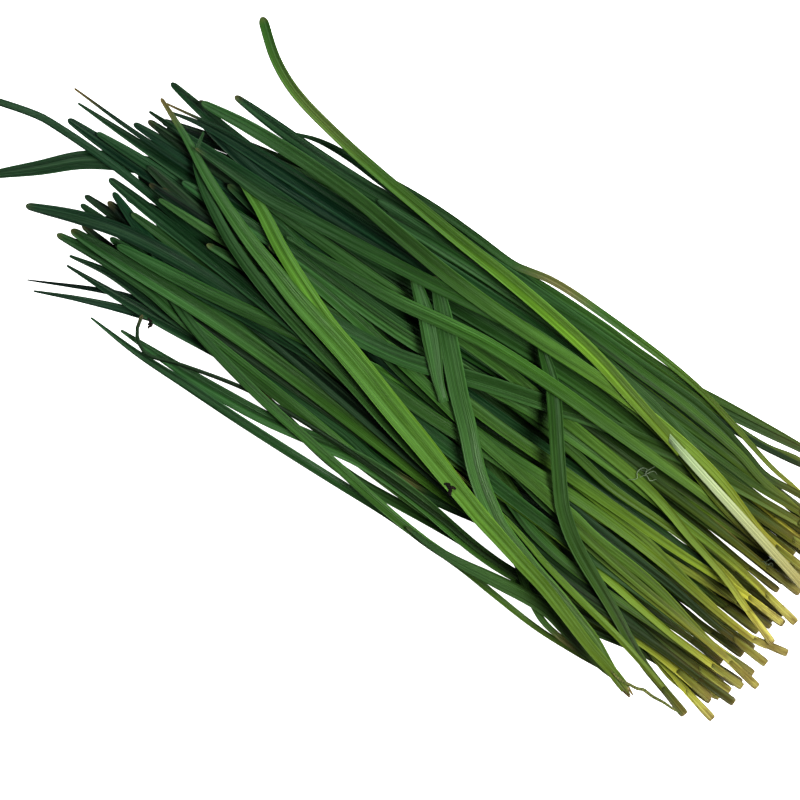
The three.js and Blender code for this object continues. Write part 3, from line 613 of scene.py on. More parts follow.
# light and yellow of a leaf by its grade: partly its own tone, partly painted light and shade for how lit
# it lies in the bunch
TONE_AND_PAINTED_LIGHT = {"inner": (0.42, 0.12), "outer": (0.54, 0.22), "sunlit": (0.64, 0.6)}
# a leaf is pale at its foot, and darker for a stretch above it: painted shade, where its neighbours in the
# bunch shade it
PALE_FOOT_AND_PAINTED_SHADE = [(5, 1.15), (35, 0.8), (120, 0.95), (200, 0.8)]
DRIFT = 0.16                    # how much lighter and darker a leaf gets, again and again
# near its foot each leaf is lighter and yellower by its own amount, as little light reached it
FOOT_TONE = {"reach": 125, "light": 0.95, "yellow": 0.62, "even": 0.4}


def tone_of(look=None, tip="blunt", patches=()):
    """How light and how yellow a leaf is: by its grade, which holds painted light and shade besides its
    own tone, or at random.
    """
    draws = [look_random() for _ in range(6)]
    if look is None:
        # leaves with no grade mostly lie low in the bunch: their random tone runs darker, partly their own
        # tone, partly painted shade
        light, yellow = 0.13 + 0.34 * draws[0] ** 1.3, 0.35 * draws[1] ** 3
    else:
        light, yellow = TONE_AND_PAINTED_LIGHT[look]
        light += 0.1 * (draws[0] - 0.5)
        yellow *= 0.6 + 0.8 * draws[1]
    dry_tip = 0.9 if tip == "long" else max(0, draws[5] - 0.55)
    return {"light": light, "yellow": yellow, "pale": draws[1], "age": 0.08 * (draws[2] - 0.5),
            "cool": draws[3], "seed": draws[4], "stain": 0.6 * draws[3] ** 3, "dry_tip": dry_tip,
            "dry_length": 14 if tip == "long" else 3, "patches": patches}


def leaf_look(tone, x):
    """Age, light, yellow and cool at the plan places x."""
    age = np.clip(x / BUNCH_LENGTH + tone["age"] * np.minimum(1, x / 60), 0, 1)
    drift = 1 + DRIFT * np.sin(x / (18 + 20 * tone["cool"]) + 2 * math.pi * tone["seed"])
    foot = np.clip(1 - x / FOOT_TONE["reach"], 0, 1)
    # painted shade along the leaf, after its pale foot: darker for a stretch above the foot, where
    # neighbouring leaves shade it
    light = tone["light"] * drift * np.interp(x, *zip(*PALE_FOOT_AND_PAINTED_SHADE))
    light = light * (1 + FOOT_TONE["light"] * (tone["pale"] - FOOT_TONE["even"]) * foot)
    yellow = np.minimum(1, tone["yellow"] + FOOT_TONE["yellow"] * tone["pale"] ** 2 * foot)
    return np.stack([age, light, yellow, tone["cool"] + 0 * x], axis=-1)


pieces = []
corners = []                    # the plan corners of the solids, which set the bunch's middle


def add_piece(piece, name):
    """Puts a grown piece in the place of the solid called name."""
    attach(piece, "root")
    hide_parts(name)
    pieces.append(piece)


def grow_shoot(name, foot, leaves, sheath=SHEATH["length"], looks=(), patches={}, torn=0,
               sheath_skin=None):
    """Lays and grows a shoot: one piece, or two where its sheath has a skin of its own."""
    shoot = lay_shoot(foot, leaves, lay_random, sheath)
    growth = Growth()
    tones = [tone_of(looks[k] if k < len(looks) else None, row[2] if len(row) > 2 else "blunt",
                     patches.get(k, ())) for k, row in enumerate(leaves)]
    for leaf, tone in zip(shoot["leaves"], tones):
        grow_blade(growth, leaf, tone, look_random)
        for c in leaf["sections"]:
            flat, sag = c["half"] * math.cos(c["roll"]), c["depth"] * math.sin(c["roll"])
            for off in (flat, sag, -flat):
                corners.append((c["x"] - math.sin(c["heading"]) * off,
                                c["y"] + math.cos(c["heading"]) * off))
    sheath_growth = Growth() if sheath_skin else growth
    if shoot["line"]:
        sheath_growth.add(*sheath_rings(shoot, tones[0], torn))
        for end in shoot["line"]:
            for off in (end["half"], -end["half"]):
                corners.append((end["x"] - math.sin(end["heading"]) * off,
                                end["y"] + math.cos(end["heading"]) * off))
    add_piece(growth.piece(name + "_fresh", blade_material), name)
    if sheath_skin:
        add_piece(sheath_growth.piece(name + "_sheath", sheath_skin), name)


FILLING = {"shoots": 24, "leaves": 5, "widths": (3.0, 5.8), "feet": (3, 15), "tips": (262, 300)}
HEAP_EDGES = {
    "far": [(0, 44), (60, 43), (95, 36), (130, 34), (160, 37), (220, 34), (265, 29), (310, 24)],
    "near": [(0, -33), (40, -33), (90, -41), (150, -42), (220, -42), (270, -38), (310, -24)],
}


def along_table(table, x):
    if x <= table[0][0]:
        return table[0][1]
    for (x0, y0), (x1, y1) in zip(table, table[1:]):
        if x <= x1:
            return lerp(y0, y1, (x - x0) / (x1 - x0))
    return table[-1][1]


def filling_shoot(index, random):
    """The foot and leaves of a lower shoot: feet spread evenly, and leaves that splay a little."""
    def between(low, high):
        return lerp(low, high, random())

    def place(x, part):
        far, near = along_table(HEAP_EDGES["far"], x), along_table(HEAP_EDGES["near"], x)
        return (x, (far + near) / 2 + (part * (far - near)) / 2)

    share = ((index * 0.618034) % 1) * 2 - 1
    foot = place(between(*FILLING["feet"]), share * 0.94)
    leaves = []
    for _ in range(FILLING["leaves"]):
        end = clamp(share + between(-0.5, 0.5), -0.97, 0.97)
        tip = between(*FILLING["tips"])
        points = [place(lerp(foot[0], tip, t),
                        clamp(lerp(share, end, smooth(t)) + between(-0.05, 0.05), -1, 1))
                  for t in (0.3, 0.55, 0.8, 1)]
        leaves.append((between(*FILLING["widths"]), points))
    return foot, leaves


filling = [filling_shoot(i, lay_random) for i in range(FILLING["shoots"])]
for i, (foot, leaves) in enumerate(filling):
    grow_shoot(f"lower_shoot_{i + 1}", foot, leaves)

# ---- Placed shoots ----
# The upper shoots, each laid where it lies in the bunch, from the lowest to the topmost. They grew
# and were cut as the lower ones. One was earthed up as it grew, so its long sheath stayed white.

# Each has its foot and its leaves. A leaf has its width, the points that it passes, and its kind
# of tip where that isn't blunt.
PLACED_SHOOTS = {
    "near_edge_shoot_1": ((6, -52), [
        (3.6, [(32, -51.6), (50, -50.8), (65, -49.8), (80, -48.6), (100, -49), (115, -50.2), (130, -50.8),
         (145, -51), (158, -50.2), (180, -49)]),
        (4.2, [(31, -50.4), (50, -48.3), (70, -46.6), (90, -46.6), (115, -47.6), (132, -48.2),
         (150, -48.2), (170, -48)])]),
    "near_edge_shoot_2": ((4, -48), [
        (4.4, [(30, -46.6), (40, -44.6), (50, -44.2), (60, -44.8), (90, -46.5), (115, -47.5),
         (145, -48.5), (165, -50.8), (190, -52.4), (215, -52.7), (232, -53.8), (246, -53),
         (257, -50)], "pointed"),
        (3.6, [(30, -45), (45, -43.6), (60, -43.2), (85, -44.5), (115, -46.2), (132, -47.6), (150, -48.4),
         (180, -49.2), (222, -49.3)])]),
    "near_edge_shoot_3": ((3, -34), [
        (3.1, [(24, -37), (35, -38.7), (45, -41.4), (60, -45.8), (75, -49.5), (90, -51.8), (105, -53.2),
         (120, -54.2), (135, -54.9), (145, -54.5), (152, -53.2), (159, -52.1), (175, -53.4), (190, -54.4),
         (205, -54.7), (222, -54.4)]),
        (5.0, [(24, -35.5), (37, -34.8), (47, -37.8), (60, -41.4), (75, -44), (110, -45.4), (140, -46.8),
         (170, -47.6), (200, -47.4), (225, -47.3), (250, -48), (282, -50.3)])]),
    "near_side_shoot_1": ((4, -29), [
        (4.8, [(30, -31), (60, -34.3), (98, -37), (120, -41), (145, -44), (180, -45.2), (210, -44),
         (240, -43.6), (265, -43), (292, -41)]),
        (4.6, [(25, -31), (37, -32.6), (50, -36.5), (75, -40.5), (98, -42.5), (125, -44.5), (160, -44),
         (215, -45)]),
        (5.0, [(40, -29.5), (70, -31.5), (100, -35.5), (150, -39), (200, -38), (230, -35.5), (255, -35),
         (280, -37.3), (304, -41.3)])]),
    "near_side_shoot_2": ((0, -23), [
        (5.2, [(60, -28), (98, -26), (128, -28), (180, -30), (220, -29), (255, -29.5), (270, -31.7),
         (288, -35.2)]),
        (4.2, [(50, -26), (120, -30), (200, -33), (260, -34.3), (285, -34), (299, -31.5)], "pointed"),
        (4.0, [(50, -27), (110, -34), (170, -37), (220, -37), (270, -37), (301, -33.6)], "long")]),
    "wide_leaf_shoot": ((2, -19), [
        (5.4, [(60, -22), (120, -24), (200, -24.5), (250, -26), (280, -26.8), (305, -27.8)], "pointed"),
        (7.2, [(60, -22), (120, -27), (200, -26), (250, -22), (285, -13), (300, -8), (316, 0.5),
         (329, 12), (341, 22), (350, 30)], "pointed")]),
    "far_reaching_shoot": ((2, 9), [
        (4.2, [(60, 8), (120, 8), (180, 8), (240, 5), (270, 1), (290, -2), (310, -4), (335, -4.8),
         (342, -4), (355, -1), (374, 4)], "full"),
        (5.2, [(70, 3), (130, 0), (200, -3), (250, -6), (290, -7.6), (329, -9.2)]),
        (4.4, [(70, 6), (130, 8), (190, 10), (250, 12), (285, 12.5), (309, 11.6)])]),
    "middle_shoot_1": ((-1, -10), [
        (4.4, [(80, -10), (160, -9), (240, -8), (290, -10.5), (317, -10.6)]),
        (4.4, [(80, -14), (160, -14), (240, -13), (290, -15), (329, -16.3)], "pointed"),
        (4.2, [(80, -17), (160, -18), (230, -17), (300, -18), (333, -20.2)], "long")]),
    "middle_shoot_2": ((3, -4), [
        (5.0, [(50, -8), (90, -12), (130, -15), (180, -17), (240, -19), (280, -20.5), (307, -20.8)]),
        (5.4, [(50, -9), (100, -10), (160, -6), (220, -3), (262, -4.5), (294, -10)]),
        (5.0, [(50, -9), (100, -13), (160, -17), (220, -21), (265, -22.5), (303, -24.5)])]),
    "far_side_shoot_1": ((4, 36), [
        (3.8, [(60, 33), (120, 33), (190, 33), (250, 34), (270, 38.8), (290, 45.5),
         (307, 52.3)], "pointed"),
        (2.6, [(80, 32), (160, 33), (240, 33), (272, 34.5), (285, 38.5), (311, 50)], "pointed"),
        (4.6, [(70, 36), (140, 36), (200, 34), (235, 35), (265, 36.8), (301, 37.4)], "pointed")]),
    "far_side_shoot_2": ((6, 41), [
        (5.4, [(60, 38), (115, 35.5), (133, 37.6), (150, 39.2), (165, 38.4), (180, 35.6), (240, 32.5),
         (260, 32.5), (285, 31.4), (302, 33.8)], "pointed"),
        (4.4, [(60, 36), (130, 34), (200, 31), (250, 28.5), (278, 25), (304, 21.5)])]),
    "far_edge_shoot_1": ((8, 45), [
        (4.0, [(40, 46), (70, 47.6), (100, 47.6), (110, 47.1), (120, 46.5), (132, 46.7), (150, 47.6),
         (165, 48.2), (178, 47.3), (190, 45), (205, 41.5), (225, 37.5), (245, 35)], "pointed"),
        (5.0, [(60, 45), (90, 46.5), (105, 47), (115, 46.3), (130, 44.4), (150, 43), (173, 40.8),
         (190, 38.5), (230, 34), (255, 31), (270, 28.5), (290, 28), (310, 29.4)]),
        (5.6, [(60, 44.6), (85, 46.2), (103, 46.9), (115, 46.2), (125, 44.8), (140, 42.4), (155, 41),
         (170, 41), (182, 42.6), (195, 44.6), (208, 46.4), (225, 47.5), (245, 47.8),
         (271, 47.3)], "pointed")]),
    "far_edge_shoot_2": ((11, 48), [
        (3.8, [(30, 46), (45, 46.6), (60, 49), (75, 50.4), (90, 51.2), (107, 53), (120, 54.2), (131, 54),
         (140, 53.2), (150, 52.6), (170, 52.6), (190, 52.5), (215, 52.2), (240, 51.5), (262, 51.2),
         (283, 49.2)], "pointed"),
        (2.2, [(60, 45.5), (90, 46.8), (110, 46.2), (120, 45.2), (131, 43.4), (170, 40.4), (200, 40),
         (220, 41.2), (245, 46.2), (258, 49.6), (265, 45), (267, 38)], "full")]),
    "far_edge_shoot_3": ((41, 59.2), [
        (3.8, [(60, 59.4), (80, 59.2), (100, 57), (115, 55), (131, 53.8), (143, 52.6), (152, 51.3),
         (165, 49.2), (175, 47.3), (190, 44.8), (210, 41.3), (232, 36.3), (250, 31), (268, 23),
         (283, 15.6)]),
        (4.4, [(60, 58.2), (70, 57.5), (79, 55.8), (86, 52.2), (92, 47.8), (100, 41.8), (112, 37),
         (150, 33), (200, 27), (250, 20), (285, 17), (308, 15.2)]),
        (5.6, [(50, 58.4), (60, 56.6), (70, 54.2), (80, 51.4), (90, 51.1), (100, 52), (107, 52.7),
         (115, 53.6), (122, 54), (131, 53.9), (141, 52.9)], "pointed")]),
    "crossing_shoot_1": ((7, 53), [
        (4.8, [(30, 47.5), (55, 38), (90, 31), (124, 17), (150, 8), (178, 1), (210, -8), (235, -16),
         (258, -21)]),
        (5.0, [(30, 46), (60, 39), (100, 34), (150, 31), (200, 26), (250, 22), (292, 20)])]),
    "crossing_shoot_2": ((12, 47), [
        (4.2, [(40, 42), (70, 36), (103, 29), (130, 24), (150, 18), (170, 11), (190, 3), (220, -9),
         (240, -16)]),
        (6.0, [(40, 43), (80, 41), (110, 35), (140, 34), (190, 29), (240, 25.5), (306, 25.2)])]),
    "middle_shoot_3": ((4, 43.5), [
        (4.6, [(20, 42.5), (35, 40.7), (50, 38.3), (90, 34), (130, 29), (170, 19), (205, 8), (240, 0),
         (285, -6)]),
        (5.4, [(20, 42.5), (35, 41), (90, 38), (150, 30), (210, 21), (260, 15), (300, 9)])]),
    "middle_shoot_4": ((4, 37), [
        (5.0, [(40, 35), (80, 33), (100, 29.5), (122, 21.5), (170, 17), (230, 18), (262, 19), (280, 13),
         (300, 5)]),
        (4.6, [(40, 34), (90, 26), (140, 22), (190, 18), (240, 12), (290, 8)])]),
    "middle_shoot_5": ((3, 31), [
        (5.8, [(40, 28.5), (100, 24), (150, 19), (200, 15.5), (250, 13.5), (285, 15), (305, 19.5),
         (325, 26.5)]),
        (5.2, [(20, 30), (50, 27), (78, 23), (97, 18), (115, 14.5), (135, 11), (170, 9), (210, 13),
         (250, 18), (288, 21)])]),
    "middle_shoot_6": ((0.5, 25), [
        (5.4, [(25, 22.7), (50, 19), (70, 17), (97, 18.5), (125, 12.5), (170, 12), (210, 12), (250, 7.5),
         (304, 1.5)]),
        (4.6, [(25, 22.7), (45, 19.5), (70, 16.8), (90, 14.5), (120, 11), (170, 6), (220, 0), (265, -3.6),
         (290, -4.8)])]),
    "middle_shoot_7": ((-4, 17.5), [
        (3.8, [(12, 20), (30, 17), (60, 10), (85, 7), (105, 4.6), (125, 3.5), (145, 2), (175, 1),
         (220, -2), (262, -1.6), (284, -1.8)]),
        (5.0, [(12, 20), (60, 13), (90, 10.5), (130, 10), (155, 7.5), (178, 3.2), (210, -8), (235, -15),
         (265, -20)])]),
    "middle_shoot_9": ((3, 9), [
        (4.0, [(20, 7), (33, 3.8), (60, 1), (85, -0.2), (105, -4), (125, -6.5), (155, -9), (185, -10),
         (230, -13)]),
        (4.8, [(20, 7.5), (50, 7), (90, 5), (130, 3), (170, 0), (210, 1), (260, 3)])]),
    "middle_shoot_10": ((-1, 6.3), [
        (5.2, [(20, 1.6), (35, -1), (52, -3), (80, -6), (120, -8.5), (150, -7.5), (185, -7), (240, -11),
         (280, -12)])]),
    "middle_shoot_8": ((-0.5, 34), [
        (5.0, [(15, 31), (25, 29), (35, 26.5), (48, 23), (60, 21), (80, 19), (92, 16.5), (120, 13.5),
         (160, 13), (195, 9.5), (220, 5.4), (238, 2.5)]),
        (4.4, [(15, 31), (35, 28), (60, 24.5), (80, 21), (105, 15.5), (135, 10.5), (165, 4), (200, -3),
         (240, -9)])]),
    "middle_shoot_11": ((3, 17.3), [
        (4.8, [(20, 10.7), (30, 6.3), (40, 3), (50, 0), (60, -3.5), (70, -6.4), (80, -8.3), (100, -10.8),
         (120, -13.2), (140, -16), (170, -18), (200, -19), (262, -23)])]),
    "crossing_shoot_3": ((2, -27), [
        (6.2, [(60, -24), (100, -18.5), (120, -14), (140, -9.3), (152, -6), (178, 0.8), (205, 3),
         (240, 3)])]),
    "crossing_shoot_4": ((17, 57), [
        (5.6, [(40, 49), (50, 43.8), (60, 38.2), (70, 33), (80, 27.8), (88, 22.8), (93, 18.8), (97, 15),
         (104.7, 5), (110, -2.4), (115, -9.5), (119, -15), (124, -21.3), (132, -28.5), (138, -34)]),
        (3.8, [(40, 49.4), (55, 45.2), (75, 40.8), (90, 37), (100, 33.8), (110, 31), (122, 28.5),
         (140, 25)], "long")]),
    "hero_shoot": ((36, 62.2), [
        (7.2, [(60, 51.4), (70, 47.9), (80, 44.6), (95, 40.4), (112, 34.5), (118, 30.7), (124, 26.5),
         (131.5, 20.3), (141, 10.3), (151, 0.6), (160, -9), (168, -17.5), (176, -26), (182, -31.5)]),
        (4.4, [(70, 50), (90, 43.5), (110, 37.8), (135, 31.5), (150, 28.6), (165, 24.8), (185, 19),
         (210, 12.3), (230, 6.5), (250, -1.3), (265, -9.5), (274, -15.5), (280.5, -22),
         (283, -32)], "pointed"),
        (5.4, [(60, 54), (85, 44.5), (110, 37), (130, 30.6), (150, 23), (170, 16), (190, 8.8), (205, 4),
         (220, -2.6), (235, -10), (250, -18.8), (263, -24.6)]),
        (7.8, [(60, 54.3), (85, 45), (100, 40.7), (110, 37.8), (120, 35), (130, 31.6), (140, 28.3),
         (150, 24.8), (160, 21.5), (170, 18.2), (190, 11.3), (200, 8.3), (220, 2.8), (234, -2.2),
         (245, -6), (255, -10), (265, -14.5), (275, -19.5), (282, -23.5), (290, -27.8),
         (303, -34)], "long")]),
    "short_crossing_leaf": ((154, 6), [
        (7.0, [(160.5, 0.2), (165, -5), (170, -10.7), (176, -17), (182, -22.3), (189, -28.3)])]),
    "long_light_shoot": ((2, -8), [
        (5.2, [(20, -10), (32, -13), (45, -14.9), (60, -16.4), (80, -17.7), (100, -18.9), (120, -20.3),
         (150, -20.8), (165, -19.5), (190, -16.4), (215, -15.5), (236, -15)], "pointed"),
        (5.0, [(45, -16), (75, -26), (110, -31.5), (140, -33), (157, -31.3), (175, -29.4), (190, -28),
         (210, -26.4), (230, -25), (250, -23.2), (265, -24), (282, -25)], "pointed")]),
    "near_side_shoot_3": ((5, -12), [
        (4.6, [(22, -13), (30, -16), (40, -19.2), (50, -22.8), (60, -26.2), (70, -29.3), (90, -34.6),
         (130, -40), (170, -42), (210, -42)]),
        (5.6, [(30, -16), (50, -23.5), (70, -28), (103, -31.3), (140, -32.2), (160, -33), (180, -34.8),
         (200, -37.6), (220, -40.6), (245, -42.4), (270, -42.4), (290, -41)])]),
    "white_sheathed_shoot": ((3, -6.5), [
        (6.0, [(95, -32.2), (110, -36.6), (120, -39), (140, -42.6), (160, -45.6), (180, -48),
         (200, -50.8), (220, -53.7), (240, -57.4), (262, -63), (276, -70), (289, -81)], "full")]),
}
SHEATH_LENGTHS = {"far_edge_shoot_3": 8, "crossing_shoot_4": 12, "hero_shoot": 12,
                  "short_crossing_leaf": 0, "white_sheathed_shoot": 76}
# the grade of each leaf of a shoot: its own tone together with painted light and shade for how lit it lies
# in the bunch
LOOKS = {
    "hero_shoot": "outer outer sunlit sunlit",
    "long_light_shoot": "outer inner",
    "white_sheathed_shoot": "sunlit",
    "short_crossing_leaf": "outer",
    "crossing_shoot_1": "outer outer",
    "crossing_shoot_2": "inner outer",
    "crossing_shoot_3": "outer",
    "crossing_shoot_4": "outer sunlit",
    "near_side_shoot_1": "inner inner outer",
    "near_side_shoot_3": "inner outer",
    "near_edge_shoot_1": "outer inner",
    "near_edge_shoot_3": "inner inner",
    "middle_shoot_5": "inner outer",
    "middle_shoot_7": "sunlit inner",
    "middle_shoot_8": "outer outer",
    "middle_shoot_9": "inner outer",
    "middle_shoot_10": "outer",
    "middle_shoot_11": "outer",
    "wide_leaf_shoot": "inner inner",
    "far_reaching_shoot": "inner",
    "far_edge_shoot_1": "inner outer outer",
    "far_edge_shoot_2": "outer",
    "far_edge_shoot_3": "outer outer inner",
}
# dried patches of a leaf: their middle, their reach and how dry they are
DRIED = {
    "far_edge_shoot_3": {1: [(68, 6, 0.55)]},
    "far_edge_shoot_1": {0: [(212, 8, 0.35)], 1: [(127, 5, 0.3)]},
    "far_side_shoot_2": {0: [(149, 6, 0.4)]},
    "long_light_shoot": {0: [(36, 6, 0.35)]},
    "middle_shoot_2": {1: [(38, 9, 0.6)]},
    "near_edge_shoot_3": {0: [(140, 14, 0.5), (222, 10, 0.5)]},
    "white_sheathed_shoot": {0: [(252, 24, 0.22)]},
}
# how far up a sheath is torn at its foot
TORN = {"hero_shoot": 6.0, "far_edge_shoot_3": 3.0, "near_edge_shoot_1": 1.5, "far_edge_shoot_1": 1.5}


def blanched_sheath_material(name):
    """Leaf sheath grown in the dark: white, a little green at its mouth, faintly ribbed."""
    material, tree = empty_material(name)
    look = node(tree, "Attribute", {"attribute_name": "look"})
    age = node(tree, "SeparateColor", Color=look.outputs["Color"]).outputs["Red"]
    place = node(tree, "Attribute", {"attribute_name": "part"})
    dry = node(tree, "SeparateColor", Color=place.outputs["Color"]).outputs["Blue"]
    grain = node(tree, "UVMap", {"uv_map": "grain"}).outputs["UV"]
    white = ramp(tree, age, [(0.0, "#857b4a"), (0.14, "#929e76"), (0.262, "#6d8762")])
    rib_map = node(tree, "Mapping", Vector=grain, Scale=(1.0, 0.006, 1.0)).outputs["Vector"]
    rib = node(tree, "TexNoise", {"noise_dimensions": "2D"}, Vector=rib_map, Scale=1.6, Detail=3.0,
               Roughness=0.6).outputs[0]
    level = node(tree, "MapRange", Value=rib, _1=0.3, _2=0.7, _3=0.74, _4=1.22).outputs[0]
    body = node(tree, "HueSaturation", Value=level, Color=white).outputs["Color"]
    stain = ramp(tree, rib, [(0.3, "#54441f"), (0.7, "#8c7640")])
    body = node(tree, "Mix", {"data_type": "RGBA"}, _0=dry, _6=body, _7=stain).outputs[2]
    bump = node(tree, "Bump", Strength=0.4, Distance=0.1, Height=rib)
    shader = node(tree, "BsdfPrincipled", Base_Color=body, Roughness=0.38, IOR=1.42,
                  Specular_IOR_Level=0.35, Normal=bump.outputs["Normal"])
    node(tree, "OutputMaterial", Surface=shader.outputs["BSDF"])
    return material


blanched_sheath = blanched_sheath_material("blanched_sheath_skin")
for name, (foot, leaves) in PLACED_SHOOTS.items():
    grow_shoot(name, foot, leaves, SHEATH_LENGTHS.get(name, SHEATH["length"]), LOOKS.get(name, "").split(),
               DRIED.get(name, {}), TORN.get(name, 0),
               blanched_sheath if name == "white_sheathed_shoot" else None)

# ---- Loose scraps ----
# Bits that came away in the cutting and lie on the leaves: a shrivelled black scrap and a dried
# curl of leaf tip, both brittle and matt, two tufts of hair-fine root, and a torn strip of skin.
BRITTLE_SAG = 1.5               # how far a dried, stiff scrap gives below its highest point
SCRAPS = [
    ("black_scrap", "shrivelled_leaf", 0.66, 0.34, [
        [(138.1, 31.6), (136.9, 31.2), (135.7, 31.8), (134.4, 31.0), (133.3, 31.1)],
        [(135.6, 31.7), (134.7, 32.6), (134.6, 33.3), (133.8, 34.0)],
        [(135.9, 31.9), (136.4, 31.2), (136.4, 30.3)]]),
    ("dried_curl", "shrivelled_leaf", 0.5, 0.2, [
        [(264.6, 38.0), (263.6, 38.3), (262.5, 38.6), (262.1, 39.8), (262.7, 40.7), (262.4, 41.3)],
        [(263.4, 38.4), (262.9, 39.4), (263.5, 40.1)]]),
    ("root_hair_tuft_1", "dry_root_hair", 0.15, 0.13, [
        [(80.7, -5.8), (79.2, -6.7), (78.0, -8.1), (79.1, -9.8), (78.4, -12.3), (76.5, -12.8),
         (76.2, -10.9), (74.1, -13.6), (72.3, -13.2)],
        [(77.5, -8.8), (75.6, -10.8), (73.4, -9.9), (71.6, -11.6)],
        [(78.6, -11.5), (76.9, -11.9), (75.0, -15.2)]]),
    ("root_hair_tuft_2", "dry_root_hair", 0.2, 0.16, [
        [(21.6, -6.4), (20.4, -7.4), (20.1, -9.0), (17.9, -9.2)],
        [(20.9, -7.0), (19.2, -6.5), (18.3, -7.9), (17.0, -7.2)]]),
    ("torn_strip", "torn_leaf_skin", 0.62, 0.09, [
        [(18.6, 57.2), (22.0, 57.4), (26.0, 57.2), (31.0, 57.5), (35.0, 57.2), (37.2, 58.0), (40.5, 58.3),
         (45.0, 58.6), (49.0, 57.6)]]),
]


def heap_top(x, y):
    """How high the heap stands at a plan place."""
    column, row = round((x - MAP["x0"]) / CELL), round((y - MAP["y0"]) / CELL)
    return heap[row * MAP["columns"] + column]


def scrap_strand(growth, points, wide, thick, lowest):
    """A strand that lies on the leaves, bridges the gaps between them and tapers to both ends."""
    curve = np.array(plan_curve([(4 * x, 4 * y) for x, y in points]))
    x, y, heading = curve[:, 0] / 4, curve[:, 1] / 4, curve[:, 2]
    share = np.linspace(0, 1, len(x))
    top = np.array([heap_top(*place) for place in zip(x, y)])
    held = np.maximum(np.maximum(top, lerp(top[0], top[-1], share)), lowest)
    smooth_over = np.ones(9) / 9
    held = np.convolve(np.pad(held, 4, mode="edge"), smooth_over, mode="valid")
    curl = 0.35 * np.sin(np.pi * share) * (1 + np.sin(11 * share + points[0][0]))
    taper = 0.35 + 0.65 * np.sqrt(np.sin(np.pi * np.clip(share, 0.01, 0.99)))
    turns = np.linspace(0, 2 * math.pi, 8, endpoint=False)
    out = wide * taper[:, None] * np.cos(turns)
    up = (held + thick + curl)[:, None] + thick * taper[:, None] * np.sin(turns)
    rings = rings_along(x, y, heading, out, up)
    grain = np.stack([np.broadcast_to(turns / 6.2832, out.shape),
                      np.broadcast_to(share[:, None] * len(x) / 4, out.shape)], axis=2)
    plain = np.zeros(out.shape + (4,))
    growth.add(rings, grain, plain, plain)


def dry_scrap_material(name, dark, pale):
    """Dead leaf or root, dried in air: matt, and mottled where it shrank."""
    material, tree = empty_material(name)
    grain = node(tree, "UVMap", {"uv_map": "grain"}).outputs["UV"]
    mottle = node(tree, "TexNoise", {"noise_dimensions": "2D"}, Vector=grain, Scale=1.8, Detail=3.0,
                  Roughness=0.6).outputs[0]
    colour = ramp(tree, mottle, [(0.35, dark), (0.65, pale)])
    bump = node(tree, "Bump", Strength=0.6, Distance=0.1, Height=mottle)
    shader = node(tree, "BsdfPrincipled", Base_Color=colour, Roughness=0.75, Specular_IOR_Level=0.2,
                  Normal=bump.outputs["Normal"])
    node(tree, "OutputMaterial", Surface=shader.outputs["BSDF"])
    return material


scrap_materials = {"shrivelled_leaf": dry_scrap_material("shrivelled_leaf", "#0c0a08", "#261d14"),
                   "dry_root_hair": dry_scrap_material("dry_root_hair", "#5d6f57", "#93a088"),
                   "torn_leaf_skin": dry_scrap_material("torn_leaf_skin", "#4a5a2c", "#7b7c48")}
for name, finish, wide, thick, strands in SCRAPS:
    growth = Growth()
    highest = max(heap_top(*place) for points in strands for place in points)
    lowest = highest - BRITTLE_SAG if finish == "shrivelled_leaf" else -GAP
    for points in strands:
        scrap_strand(growth, points, wide, thick, lowest)
    scrap = growth.piece(name, scrap_materials[finish])
    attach(scrap, "root")
    pieces.append(scrap)

# ---- Set down on the frame ----
# The bunch was laid in millimetres from its feet. It is moved so that the middle of its solids'
# box is the frame's, and scaled to metres.
low, high = np.min(corners, axis=0), np.max(corners, axis=0)
middle = (low + high) / 2
set_down = Matrix.Scale(0.001, 4) @ Matrix.Translation((-middle[0], -middle[1], 0))
for piece in pieces:
    piece.data.transform(set_down)

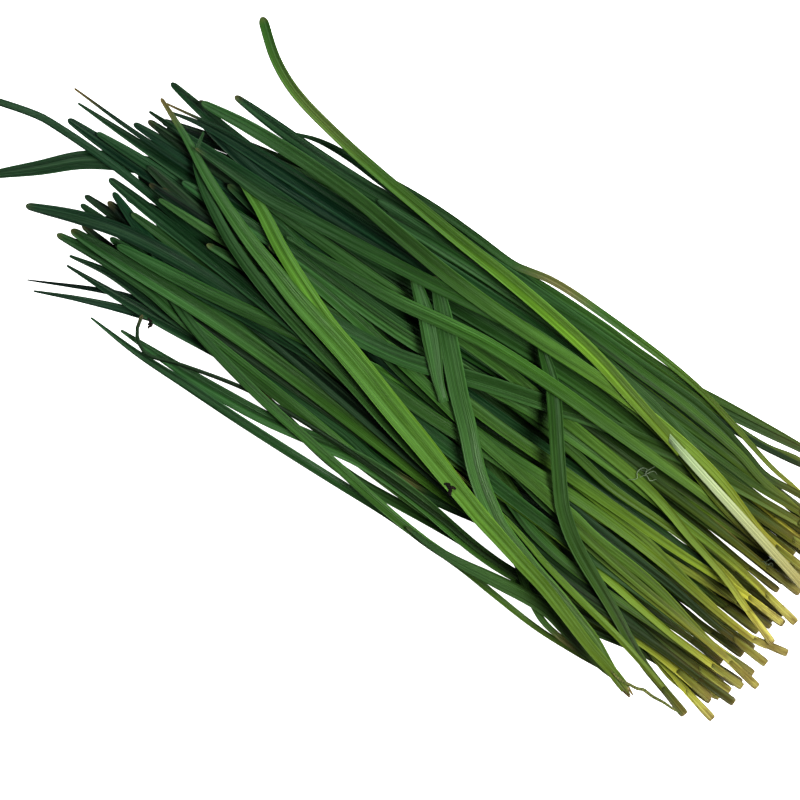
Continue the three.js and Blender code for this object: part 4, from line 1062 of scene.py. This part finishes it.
# ---- Floor, light and camera ----
# A plain white table, two soft lamps, and a camera that looks straight down.
floor_mesh = bpy.data.meshes.new("floor")
floor_mesh.from_pydata([(-3, -3, 0), (3, -3, 0), (3, 3, 0), (-3, 3, 0)], [], [(0, 1, 2, 3)])
floor = bpy.data.objects.new("floor", floor_mesh)
floor_material = bpy.data.materials.new("white_table")
floor_material.use_nodes = True
floor_shader = floor_material.node_tree.nodes["Principled BSDF"]
floor_shader.inputs["Base Color"].default_value = (0.6, 0.6, 0.6, 1)
floor_shader.inputs["Roughness"].default_value = 0.8
floor_shader.inputs["Emission Color"].default_value = (1, 1, 1, 1)
seen = floor_material.node_tree.nodes.new("ShaderNodeLightPath").outputs["Is Camera Ray"]
floor_material.node_tree.links.new(seen, floor_shader.inputs["Emission Strength"])
floor_mesh.materials.append(floor_material)
bpy.context.scene.collection.objects.link(floor)

world = bpy.data.worlds.new("studio")
world.use_nodes = True
world.node_tree.nodes["Background"].inputs["Color"].default_value = (1, 1, 1, 1)
world.node_tree.nodes["Background"].inputs["Strength"].default_value = 0.15
bpy.context.scene.world = world


def soft_box(name, place, size, power):
    """A square lamp that faces the bunch."""
    lamp = bpy.data.lights.new(name, "AREA")
    lamp.size, lamp.energy = size, power
    box = bpy.data.objects.new(name, lamp)
    box.location = place
    box.rotation_euler = (-Vector(place)).to_track_quat("-Z", "Y").to_euler()
    bpy.context.scene.collection.objects.link(box)


soft_box("key", (-0.72, -0.14, 1.15), 0.5, 32.5)
soft_box("fill", (0.9, -0.8, 1.0), 0.6, 12)

VIEW_MIDDLE = (168.3, 14.0, 15.0)
VIEW_WIDTH = 0.300
VIEW_HEIGHT = 1.5
lens = bpy.data.cameras.new("camera")
lens.sensor_width = 36
lens.lens = 36 * VIEW_HEIGHT / VIEW_WIDTH
camera = bpy.data.objects.new("camera", lens)
camera.location = ((VIEW_MIDDLE[0] - middle[0]) / 1000, (VIEW_MIDDLE[1] - middle[1]) / 1000,
                   VIEW_MIDDLE[2] / 1000 + VIEW_HEIGHT)
camera.rotation_euler = (0, 0, math.radians(212))
bpy.context.scene.collection.objects.link(camera)
bpy.context.scene.camera = camera
bpy.context.scene.view_settings.view_transform = "Standard"
bpy.context.scene.view_settings.look = "Medium High Contrast"
